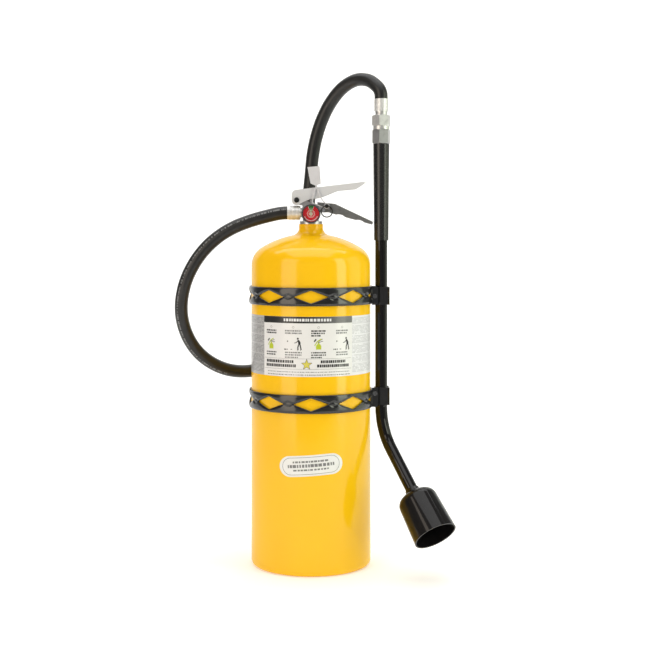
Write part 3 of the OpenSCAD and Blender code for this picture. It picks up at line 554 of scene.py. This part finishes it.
def dress(node_name, finish_name):
    """Gives a carried-over part one finish."""
    mesh = nodes[node_name].data
    mesh.materials.clear()
    mesh.materials.append(finishes[finish_name].material)


for node_name in nodes:
    dress(node_name, slot_of[node_name])
for node_name in ("pull_ring", "pull_pin", "lever_pivot_pin"):
    dress(node_name, "wire_steel")
dress("gauge_bezel", "bezel_steel")

# ---------------------------------------------------------------- spring under the stem


def press_spring():
    """The coil spring under the stem, its copied mesh merged and carried with the cylinder."""
    form = bmesh.new()
    form.from_mesh(nodes["valve_spring"].data)
    bmesh.ops.remove_doubles(form, verts=form.verts, dist=0.000001)
    piece = from_bmesh("stem_spring", form)
    piece.data.materials.clear()
    piece.data.materials.append(finishes[slot_of["valve_spring"]].material)
    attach(piece, "cylinder")
    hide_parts("valve_spring")
    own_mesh(piece)


press_spring()

# ---------------------------------------------------------------- crimps on the ferrules


def add_node(tree, kind, links, **settings):
    """One geometry node with its settings, and its sockets' links or values."""
    made = tree.nodes.new(kind)
    for key, value in settings.items():
        setattr(made, key, value)
    for key, value in links.items():
        if isinstance(value, bpy.types.NodeSocket):
            tree.links.new(value, made.inputs[key])
        else:
            made.inputs[key].default_value = value
    return made


def repeat_tree():
    """Repeats a shape round the Z axis and in rows along it."""
    tree = bpy.data.node_groups.new("repeat_round_axis", "GeometryNodeTree")
    for name, kind in (("Geometry", "Geometry"), ("Count", "Int"), ("Radius", "Float"),
                       ("Rows", "Int"), ("Row Step", "Float"), ("Material", "Material")):
        tree.interface.new_socket(name, in_out="INPUT", socket_type=f"NodeSocket{kind}")
    tree.interface.new_socket("Geometry", in_out="OUTPUT", socket_type="NodeSocketGeometry")
    given = tree.nodes.new("NodeGroupInput").outputs
    circle = add_node(tree, "GeometryNodeMeshCircle",
                      {"Vertices": given["Count"], "Radius": given["Radius"]})
    index = add_node(tree, "GeometryNodeInputIndex", {})
    part = add_node(tree, "ShaderNodeMath", {0: index.outputs[0], 1: given["Count"]},
                    operation="DIVIDE")
    angle = add_node(tree, "ShaderNodeMath", {0: part.outputs[0], 1: 2 * math.pi},
                     operation="MULTIPLY")
    turn = add_node(tree, "ShaderNodeCombineXYZ", {"Z": angle.outputs[0]})
    around = add_node(tree, "GeometryNodeInstanceOnPoints", {
        "Points": circle.outputs[0], "Instance": given["Geometry"], "Rotation": turn.outputs[0]})
    ring = add_node(tree, "GeometryNodeRealizeInstances", {"Geometry": around.outputs[0]})
    step = add_node(tree, "ShaderNodeCombineXYZ", {"Z": given["Row Step"]})
    line = add_node(tree, "GeometryNodeMeshLine",
                    {"Count": given["Rows"], "Offset": step.outputs[0]})
    rows = add_node(tree, "GeometryNodeInstanceOnPoints", {
        "Points": line.outputs[0], "Instance": ring.outputs[0]})
    whole = add_node(tree, "GeometryNodeRealizeInstances", {"Geometry": rows.outputs[0]})
    painted_mesh = add_node(tree, "GeometryNodeSetMaterial", {
        "Geometry": whole.outputs[0], "Material": given["Material"]})
    out = tree.nodes.new("NodeGroupOutput")
    tree.links.new(painted_mesh.outputs[0], out.inputs[0])
    return tree


# How many flat parts a pad's curve has, and how far the pad reaches into the cylinder.
PAD_STEPS, PAD_SUNK = 4, 0.0003


def curved_pad(name, radius, thick, tall, reach):
    """A low pad on a cylinder of that radius, facing +X, its middle at the origin."""
    form = bmesh.new()
    inner, outer = radius - PAD_SUNK, radius + thick
    rows = []
    for k in range(PAD_STEPS + 1):
        a = reach * (2 * k / PAD_STEPS - 1)
        rows.append([form.verts.new((r * math.cos(a) - radius, r * math.sin(a), z))
                     for r, z in ((inner, -tall / 2), (outer, -tall / 2),
                                  (outer, tall / 2), (inner, tall / 2))])
    for a, b in zip(rows, rows[1:]):
        for k in range(4):
            form.faces.new((a[k], a[(k + 1) % 4], b[(k + 1) % 4], b[k]))
    form.faces.new(rows[0])
    form.faces.new(rows[-1])
    bmesh.ops.recalc_face_normals(form, faces=form.faces[:])
    return from_bmesh(name, form)


repeat_round_axis = repeat_tree()
WAND_X = 0.120
FERRULE_R = 0.01175
CRIMP_COUNT, CRIMP_ROWS, CRIMP_STEP = 10, 3, 0.0066
CRIMP_TALL, CRIMP_HIGH, CRIMP_REACH = 0.0052, 0.00035, math.radians(14.5)


def crimps(name, body, placing):
    """Rows of pressed pads round a ferrule."""
    piece = curved_pad(name, FERRULE_R, CRIMP_HIGH, CRIMP_TALL, CRIMP_REACH)
    repeat = piece.modifiers.new("repeat", "NODES")
    repeat.node_group = repeat_round_axis
    values = {"Count": CRIMP_COUNT, "Radius": FERRULE_R, "Rows": CRIMP_ROWS,
              "Row Step": CRIMP_STEP, "Material": finishes["ferrule_steel"].material}
    for item in repeat_round_axis.interface.items_tree:
        if item.in_out == "INPUT" and item.name in values:
            repeat[item.identifier] = values[item.name]
    edge = piece.modifiers.new("edge", "BEVEL")
    edge.width, edge.segments, edge.angle_limit = 0.0003, 2, math.radians(40)
    finish_mesh(piece)
    piece.data.transform(placing)
    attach(piece, body)
    return piece


wand_low, wand_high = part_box("wand_ferrule")
valve_low, valve_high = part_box("valve_ferrule")
wand_crimps = crimps("wand_crimps", "hose_end", Matrix.Translation(
    (WAND_X, 0, (wand_low.z + wand_high.z) / 2 - CRIMP_STEP)))
crimps("valve_crimps", "cylinder", Matrix.Translation(
    ((valve_low.x + valve_high.x) / 2 - CRIMP_STEP, 0, (valve_low.z + valve_high.z) / 2))
    @ Matrix.Rotation(math.radians(90), 4, "Y"))

# ---------------------------------------------------------------- hose: finish, with the part it replaces hidden

hose.data.materials.append(finishes["hose_rubber"].material)
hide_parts("hose")
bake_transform(hose)

# ---------------------------------------------------------------- carrying bands

BAND_FACE = 0.1044
BAND_HALF = 0.0150
BAND_SHEET = 0.0018
PITCH = math.radians(41.5)
CUT_HALF = math.radians(16)
CUT_RISE = 0.0105
FIRST_CUT, LAST_CUT = -6, 2
LAST_CUT_EDGE = math.radians(78.5)
EAR_BEND = 0.0015
FRONT_EAR_Y, FRONT_EAR_X = -0.01745, 0.1138
REAR_EAR_Y, REAR_EAR_X = -0.01185, 0.1120
EAR_CORNER = 0.0045


def rounded_half(from_end):
    """Half the ear's height at a distance from its end, for round corners."""
    if from_end >= EAR_CORNER:
        return BAND_HALF
    return BAND_HALF - EAR_CORNER + math.sqrt(EAR_CORNER ** 2 - (EAR_CORNER - from_end) ** 2)


def band_columns():
    """The strip's path seen from above: place, outward direction, angle from the nearest
    opening's middle, half height, and whether the strip is open up to the next column."""
    front_angle = math.acos((-FRONT_EAR_Y + EAR_BEND) / (BAND_FACE + EAR_BEND))
    rear_angle = math.acos((-REAR_EAR_Y - EAR_BEND) / (BAND_FACE + EAR_BEND)) - 2 * math.pi
    columns = []

    def ear(y, reach, angle, side):
        """Columns of one ear, from the band outwards."""
        made = []
        out = Vector((math.sin(angle), -math.cos(angle), 0))
        centre = out * (BAND_FACE + EAR_BEND)
        turn_to = math.radians(-90) if side > 0 else math.radians(90)
        turn_from = math.atan2(out.y, out.x)
        for k in range(1, 6):
            a = turn_from + (turn_to - turn_from) * k / 5
            facing = Vector((math.cos(a), math.sin(a), 0))
            made.append((centre - facing * EAR_BEND, facing, None, BAND_HALF, False))
        facing = Vector((0, -side, 0))
        start = centre.x + 0.0002
        for k in range(9):
            t = math.sin(math.pi / 2 * k / 8)
            x = start + (reach - start) * t
            made.append((Vector((x, y, 0)), facing, None, rounded_half(reach - x), False))
        return made

    columns += reversed(ear(REAR_EAR_Y, REAR_EAR_X, rear_angle, -1))
    stops = {rear_angle, front_angle, LAST_CUT_EDGE}
    for k in range(FIRST_CUT, LAST_CUT + 1):
        middle = k * PITCH
        steps = [CUT_HALF * i / 8 for i in range(-8, 9)]
        steps += [CUT_HALF + (PITCH - 2 * CUT_HALF) * i / 6 for i in range(1, 6)]
        stops |= {middle + step for step in steps}
    behind = FIRST_CUT * PITCH - CUT_HALF
    stops |= {rear_angle + (behind - rear_angle) * i / 5 for i in range(1, 5)}
    angles = sorted(a for a in stops if rear_angle <= a <= front_angle)
    for a, nxt in zip(angles, angles[1:] + [front_angle]):
        k = min(max(round(a / PITCH), FIRST_CUT), LAST_CUT)
        between = (a + nxt) / 2 - k * PITCH
        opened = abs(between) < CUT_HALF and nxt <= LAST_CUT_EDGE + 1e-6
        out = Vector((math.sin(a), -math.cos(a), 0))
        columns.append((out * BAND_FACE, out, a - k * PITCH, BAND_HALF, opened))
    columns += ear(FRONT_EAR_Y, FRONT_EAR_X, front_angle, 1)
    return columns


# The pattern pressed into a strip: how far its rails, patches and crossings stand out, how
# soft their edges are, and how far the patches keep from a crease and from the strip's edge.
RAIL_HIGH, PATCH_HIGH, CROSSING_HIGH = 0.0010, 0.0006, 0.0005
RAIL_SOFT, PATCH_SOFT, CROSSING_SOFT = 0.0008, 0.0007, 0.0009
PATCH_FROM_CREASE, PATCH_FROM_EDGE, EDGE_ROLL = 0.0022, 0.0024, 0.0011
EAR_LINE = 0.0052


def pressed(distance, reach):
    """0 on a crease, rising to 1 over a reach away from it."""
    return 1 - math.exp(-(distance / reach) ** 2)


def band_relief(line, z, half):
    """How far the pressed pattern stands out at a height, where line is the crease's height."""
    beyond = abs(z) - line
    if beyond >= 0:
        raised = RAIL_HIGH * pressed(beyond, RAIL_SOFT)
        patch = min(beyond - PATCH_FROM_CREASE, half - PATCH_FROM_EDGE - abs(z)) / PATCH_SOFT
        raised += PATCH_HIGH * min(max(patch, 0), 1)
    else:
        raised = CROSSING_HIGH * pressed(-beyond, CROSSING_SOFT)
    rim = max(0.0, abs(z) - (half - EDGE_ROLL)) / EDGE_ROLL
    return raised - RAIL_HIGH * rim * rim


def make_band(name, height):
    """One strap: a pressed strip with openings round the cylinder, and its two ears."""
    form = bmesh.new()
    rail, middle = 14, 6
    grid = []
    for place, out, offset, half, opened in band_columns():
        if offset is None:
            line = EAR_LINE
        else:
            line = abs(CUT_RISE * (1 - abs(offset) / CUT_HALF))
        line = min(line, half * 0.72)

        def corner(z):
            lift = 0.0 if offset is None else band_relief(line, z, half)
            return form.verts.new(place + out * lift + Vector((0, 0, height + z)))

        top = [corner(line + (half - line) * i / rail) for i in range(rail + 1)]
        low = [corner(-line - (half - line) * i / rail) for i in range(rail + 1)]
        inner = [corner(line * (2 * i / middle - 1)) for i in range(middle + 1)]
        grid.append((top, low, inner, opened))
    for left, right in zip(grid, grid[1:]):
        strips = [(left[0], right[0]), (left[1], right[1])]
        if not left[3]:
            strips.append((left[2], right[2]))
        for a, b in strips:
            for i in range(len(a) - 1):
                form.faces.new((a[i], b[i], b[i + 1], a[i + 1]))
    bmesh.ops.remove_doubles(form, verts=form.verts, dist=0.00002)
    loose = [v for v in form.verts if not v.link_faces]
    bmesh.ops.delete(form, geom=loose, context="VERTS")
    bmesh.ops.recalc_face_normals(form, faces=form.faces[:])
    probe = min(form.faces, key=lambda f: f.calc_center_median().y)
    if probe.normal.y > 0:
        bmesh.ops.reverse_faces(form, faces=form.faces[:])
    piece = from_bmesh(name, form)
    sheet = piece.modifiers.new("sheet", "SOLIDIFY")
    sheet.thickness, sheet.offset = BAND_SHEET, -1
    edge = piece.modifiers.new("edge", "BEVEL")
    edge.width, edge.segments, edge.angle_limit = 0.0003, 1, math.radians(60)
    finish_mesh(piece)
    crease(piece, 50)
    return piece


for side in ("upper", "lower"):
    low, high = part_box(f"{side}_band")
    strap = make_band(f"{side}_strap", (low.z + high.z) / 2)
    strap.data.materials.append(finishes["band_enamel"].material)
    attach(strap, "cylinder")
    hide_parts(f"{side}_band")

# ---------------------------------------------------------------- printed marks on the films

INK_STEP = 0.004
INK_DEPTH = 0.00006


class Sheet:
    """Flat printed shapes, drawn in metres along the surface and up, then wrapped on it."""

    def __init__(self, seed):
        self.form, self.random = bmesh.new(), random.Random(seed)

    def shape(self, points):
        self.form.faces.new([self.form.verts.new((u, z, 0)) for u, z in points])

    def box(self, left, low, right, high):
        self.shape([(left, low), (right, low), (right, high), (left, high)])

    def disc(self, u, z, radius, sides=14):
        turns = [2 * math.pi * k / sides for k in range(sides)]
        self.shape([(u + radius * math.cos(t), z + radius * math.sin(t)) for t in turns])

    def hoop(self, u, z, radius, line, sides=16):
        turns = [2 * math.pi * k / sides for k in range(sides + 1)]
        inner = radius - line
        for a, b in zip(turns, turns[1:]):
            corners = ((inner, a), (radius, a), (radius, b), (inner, b))
            self.shape([(u + r * math.cos(t), z + r * math.sin(t)) for r, t in corners])

    def star(self, u, z, radius):
        self.shape([(u + r * math.sin(math.pi * k / 5), z + r * math.cos(math.pi * k / 5))
                    for k, r in ((k, radius if k % 2 == 0 else radius * 0.42) for k in range(10))])

    def stroke(self, points, width):
        """A thick line through points."""
        for (u0, z0), (u1, z1) in zip(points, points[1:]):
            run = Vector((u1 - u0, z1 - z0))
            side = Vector((-run.y, run.x)).normalized() * width / 2
            self.shape([(u0 - side.x, z0 - side.y), (u1 - side.x, z1 - side.y),
                        (u1 + side.x, z1 + side.y), (u0 + side.x, z0 + side.y)])

    def words(self, left, right, z, tall, short=0.0012, long=0.0045, gap=0.0007):
        """A row of plain blocks of uneven length."""
        u = left
        while u < right - short:
            end = min(u + self.random.uniform(short, long), right)
            self.box(u, z - tall / 2, end, z + tall / 2)
            u = end + gap * self.random.uniform(0.8, 1.6)

    def wrapped(self, name, radius):
        """The shapes as thin solid patches on an upright cylinder of that radius."""
        form = self.form
        reach = max(abs(v.co.x) for v in form.verts)
        cuts = int(reach / INK_STEP)
        for k in range(-cuts, cuts + 1):
            parts = form.verts[:] + form.edges[:] + form.faces[:]
            bmesh.ops.bisect_plane(form, geom=parts, plane_co=(k * INK_STEP, 0, 0),
                                   plane_no=X_AXIS)
        bmesh.ops.recalc_face_normals(form, faces=form.faces[:])
        for face in form.faces:
            if face.normal.z < 0:
                face.normal_flip()
        for vertex in form.verts:
            angle = vertex.co.x / radius
            vertex.co = Vector((radius * math.sin(angle), -radius * math.cos(angle), vertex.co.y))
        piece = from_bmesh(name, form, smooth=False)
        film = piece.modifiers.new("film", "SOLIDIFY")
        film.thickness, film.offset = INK_DEPTH, 0
        finish_mesh(piece)
        return piece


def ink(name, colour, other, roughness=0.4):
    f = Finish(name, colour, roughness, Coat_Weight=0.25, Coat_Roughness=0.15)
    patchy = f.noise(240.0, 3.0)
    f.set("Base Color", f.mix(patchy.fade(0.4, 0.8), colour, other))
    f.set("Roughness", roughness + (patchy - 0.5) * 0.12)
    f.relief(patchy, 0.00001)
    finishes[name] = f


ink("ink_black", grey(0.010), grey(0.022))
ink("ink_grey", grey(0.16), grey(0.22))
ink("ink_pale", grey(0.80), grey(0.70))
ink("ink_green", (0.50, 0.58, 0.03), (0.42, 0.50, 0.03))
ink("ink_yellow", (0.70, 0.62, 0.10), (0.62, 0.54, 0.08))

FILM_GAP = 0.00004
FILM_FACE = -LABEL_LOW.y + FILM_GAP
DEGREE = math.radians(1) * FILM_FACE


def header_ink():
    """Black at the left, fading to grey at the right."""
    f = Finish("ink_header", grey(0.02), 0.36, Coat_Weight=0.25, Coat_Roughness=0.15)
    x = f.part("X")
    speck = f.noise(300.0, 3.0)
    f.set("Base Color", f.mix(x.fade(-0.03, 0.07), f.mix(speck, grey(0.006), grey(0.014)),
                              f.mix(speck, grey(0.13), grey(0.18))))
    f.set("Roughness", 0.34 + (speck - 0.5) * 0.1)
    f.relief(speck, 0.00001)
    finishes["ink_header"] = f


header_ink()


def standing_figure(sheet, u, z, tall):
    """A plain standing figure that points a hose to the left."""
    k = tall / 20

    def at(*pairs):
        return [(u + a * 0.001 * k, z + b * 0.001 * k) for a, b in pairs]

    sheet.disc(u - 0.0014 * k, z + 0.0184 * k, 0.0016 * k)
    sheet.shape(at((-2.2, 15.8), (-0.8, 16.8), (1.2, 15.6), (3.2, 12.0), (3.0, 8.2),
                   (-0.6, 8.6), (-0.9, 12.2)))
    sheet.stroke(at((-0.8, 15.2), (-4.2, 11.8), (-7.4, 11.2)), 0.0012 * k)
    sheet.stroke(at((0.4, 9.0), (-1.4, 4.4), (-1.0, 0.2), (-2.4, 0.2)), 0.0019 * k)
    sheet.stroke(at((2.2, 9.0), (3.2, 4.6), (4.2, 0.2), (2.8, 0.2)), 0.0019 * k)


def valve_icon(green, black, u, z, turn):
    """A small bottle with its lever, in plain shapes."""
    green.shape([(u - 0.0042, z), (u + 0.0042, z), (u + 0.0044, z + 0.0052),
                 (u + 0.0028, z + 0.0086), (u - 0.0028, z + 0.0086), (u - 0.0044, z + 0.0052)])
    green.box(u - 0.0014, z + 0.0086, u + 0.0014, z + 0.0112)
    black.stroke([(u - 0.0016, z + 0.0112), (u + 0.0074, z + 0.0112 + turn)], 0.0009)
    black.stroke([(u - 0.0016, z + 0.0124), (u + 0.0066, z + 0.0148 + turn)], 0.0009)
    green.stroke([(u - 0.0066, z + 0.0060), (u - 0.0024, z + 0.0128),
                  (u + 0.0046, z + 0.0172)], 0.0016)
    black.stroke([(u - 0.0074, z + 0.0128), (u - 0.0040, z + 0.0166)], 0.0022)


# Heights on the label, from the header down.
HEADER_LOW, HEADER_TITLE, HEADER_HIGH = 0.4142, 0.4195, 0.4249
STEP_MARK, STEP_TEXT, STEP_FOOT, STEP_NOTE = 0.4076, 0.4018, 0.3716, 0.3664
TEXT_STEP, RULE_THICK = 0.0039, 0.0004
UPPER_RULE, LOWER_RULE = 0.3562, 0.3392
UPPER_TITLE, LOWER_TITLE, STAR_MIDDLE = 0.3516, 0.3448, 0.3468
# Each step's middle and half width in degrees, and whether it shows a standing figure.
LABEL_STEPS = ((-39.8, 9.5, False), (-16.6, 13.0, True), (7.0, 11.0, False), (30.0, 10.0, True))
# Each bold row's height, and its ends in degrees.
BOLD_ROWS = ((UPPER_TITLE, -45.5, -15.0), (LOWER_TITLE, -46.0, -13.8),
             (UPPER_TITLE, 9.0, 34.5), (LOWER_TITLE, 5.6, 38.0))
# Each fine row's height on the label and the height of its letters.
FINE_ROWS = ((0.3346, 0.0013), (0.3300, 0.0016))


def print_label():
    """The label's print: a header, four steps, bold rows round a star, and fine print."""
    black, dark, pale = Sheet(11), Sheet(12), Sheet(13)
    green, yellow, header = Sheet(14), Sheet(15), Sheet(16)
    header.box(-49.5 * DEGREE, HEADER_LOW, 41.6 * DEGREE, HEADER_HIGH)
    for number, (middle, reach, figure) in enumerate(LABEL_STEPS):
        u, half = middle * DEGREE, reach * DEGREE * 0.62
        strong = black if number in (0, 2) else dark
        dark.hoop(u, STEP_MARK, 0.0019, RULE_THICK)
        for row in range(3 if number == 2 else 2):
            end = u + half * (0.4 if row == 2 else 1)
            strong.words(u - half, end, STEP_TEXT - TEXT_STEP * row, 0.0024)
        if figure:
            standing_figure(black, u + 5.2 * DEGREE, 0.3708, 20)
            dark.disc(u - 5.5 * DEGREE, 0.3846, 0.0013, 8)
            black.words(u - 9.0 * DEGREE, u - 4.6 * DEGREE, STEP_FOOT, 0.0017)
            dark.box(u - 2.5 * DEGREE, 0.3710, u - 1.0 * DEGREE, 0.3722)
        else:
            valve_icon(green, black, u, STEP_FOOT, 0.0 if number == 0 else 0.0024)
        for row in range(3 if number in (1, 2) else 2):
            end = u + half * (0.6 if row == 2 else 1)
            strong.words(u - half, end, STEP_NOTE - TEXT_STEP * row, 0.0021)
    for z in (UPPER_RULE, LOWER_RULE):
        dark.box(-48 * DEGREE, z, 40 * DEGREE, z + RULE_THICK)
    for z, start, end in BOLD_ROWS:
        black.words(start * DEGREE, end * DEGREE, z, 0.0047, 0.0018, 0.0036, 0.0006)
    star_u = -4.0 * DEGREE
    black.star(star_u, STAR_MIDDLE, 0.0098)
    for z, tall in FINE_ROWS:
        dark.words(-44 * DEGREE, 39 * DEGREE, z, tall, 0.0008, 0.0030, 0.0010)
    yellow.star(star_u, STAR_MIDDLE, 0.0082)
    pale.words(-26 * DEGREE, 19 * DEGREE, HEADER_TITLE, 0.0044, 0.0022, 0.0048, 0.0011)
    over = FILM_GAP
    for sheet, name, finish, lift in (
            (header, "label_header", "ink_header", 0), (black, "label_black", "ink_black", 0),
            (dark, "label_grey", "ink_grey", 0), (green, "label_green", "ink_green", over),
            (pale, "label_pale", "ink_pale", over), (yellow, "label_star", "ink_yellow", over)):
        piece = sheet.wrapped(name, FILM_FACE + lift)
        piece.data.materials.append(finishes[finish].material)
        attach(piece, "cylinder")


print_label()

BADGE_LOW, BADGE_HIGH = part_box("badge_label")
BADGE_TILT = math.radians(4)
BADGE_HALF_LONG, BADGE_HALF_HIGH, BADGE_LINE = 0.0485, 0.0142, 0.0007
# Each row's height from the badge's middle, half length and letter height.
BADGE_ROWS = ((0.0066, 0.030, 0.0030), (0.0, 0.039, 0.0050), (-0.0068, 0.030, 0.0026))


def print_badge():
    """A thin border and rows of plain blocks, tilted with the badge."""
    dark = Sheet(21)
    middle = (BADGE_LOW.z + BADGE_HIGH.z) / 2
    outer, inner = BADGE_HALF_HIGH, BADGE_HALF_HIGH - BADGE_LINE
    straight = BADGE_HALF_LONG - BADGE_HALF_HIGH
    outline = []
    for side in (1, -1):
        for k in range(13):
            a = math.radians(-90 + 15 * k) if side > 0 else math.radians(90 + 15 * k)
            outline.append((side * straight, math.cos(a), math.sin(a)))
    for (c0, x0, z0), (c1, x1, z1) in zip(outline, outline[1:] + outline[:1]):
        dark.shape([(c0 + x0 * inner, z0 * inner), (c0 + x0 * outer, z0 * outer),
                    (c1 + x1 * outer, z1 * outer), (c1 + x1 * inner, z1 * inner)])
    for z, reach, tall in BADGE_ROWS:
        dark.words(-reach, reach, z, tall, 0.0020, 0.0060, 0.0012)
    tilt = Matrix.Rotation(BADGE_TILT, 3, "Z")
    for vertex in dark.form.verts:
        vertex.co = tilt @ vertex.co + Vector((0, middle, 0))
    piece = dark.wrapped("badge_print", -BADGE_LOW.y + FILM_GAP)
    piece.data.materials.append(finishes["ink_grey"].material)
    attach(piece, "cylinder")


print_badge()

# ---------------------------------------------------------------- studio


def area_light(name, at, aim, size, watts, colour):
    data = bpy.data.lights.new(name, "AREA")
    data.shape, data.size, data.size_y = "RECTANGLE", *size
    data.energy, data.color = watts, colour
    light = bpy.data.objects.new(name, data)
    light.location = at
    light.rotation_euler = (Vector(aim) - Vector(at)).to_track_quat("-Z", "Y").to_euler()
    bpy.context.scene.collection.objects.link(light)


# Each light's name, place, aim, width and height, watts and colour.
LIGHTS = (
    ("soft_box_left", (-1.47, -1.63, 0.75), (0, 0, 0.40), (1.20, 2.4), 24, (1, 0.88, 0.74)),
    ("soft_box_right", (1.90, -1.12, 0.75), (0, 0, 0.40), (0.75, 2.4), 22, (0.95, 1, 0.82)),
    ("front_fill", (0.0, -3.6, 0.9), (0, 0, 0.45), (3.4, 2.2), 3, (1, 1, 1)),
    ("soft_box_top", (0, -0.6, 2.6), (0, 0, 0.3), (2.6, 1.8), 28, (1, 1, 1)),
    ("side_fill", (2.2, 0.1, 0.9), (0, 0, 0.40), (1.2, 1.8), 9, (0.92, 1, 0.74)),
    ("sweep_light", (0, 0.9, 3.4), (0, 2.4, 0.6), (5.0, 1.2), 60, (1, 1, 1)),
)
FLOOR_DROP = 0.0003


def build_studio():
    """A white sweep, tall soft boxes at both sides, fills, and a wide soft box overhead."""
    form = bmesh.new()
    half, near, wall_y, bend, top = 2.4, -1.4, 2.2, 1.0, 3.4
    section = [(near, 0.0), (wall_y - bend, 0.0)]
    section += [(wall_y - bend + bend * math.sin(a), bend - bend * math.cos(a))
                for a in (math.pi / 2 * k / 16 for k in range(1, 17))]
    section += [(wall_y, top)]
    rows = [[form.verts.new((x, y, z - FLOOR_DROP)) for x in (-half, half)] for y, z in section]
    for a, b in zip(rows, rows[1:]):
        form.faces.new((a[0], a[1], b[1], b[0]))
    bmesh.ops.recalc_face_normals(form, faces=form.faces[:])
    sweep = from_bmesh("studio_sweep", form)
    f = Finish("studio_white", grey(0.86), 0.9, Emission_Strength=0.27, Emission_Color=(1, 1, 1, 1))
    tone = f.noise(0.7, 1.0)
    f.set("Base Color", f.mix(tone, grey(0.85), grey(0.88)))
    sweep.data.materials.append(f.material)
    for light in LIGHTS:
        area_light(*light)
    world = bpy.data.worlds.new("studio_air")
    world.use_nodes = True
    air = world.node_tree.nodes["Background"]
    air.inputs["Color"].default_value = (1, 1, 1, 1)
    air.inputs["Strength"].default_value = 0.16
    bpy.context.scene.world = world
    bpy.context.scene.view_settings.view_transform = "Standard"
    bpy.context.scene.view_settings.look = "None"


build_studio()
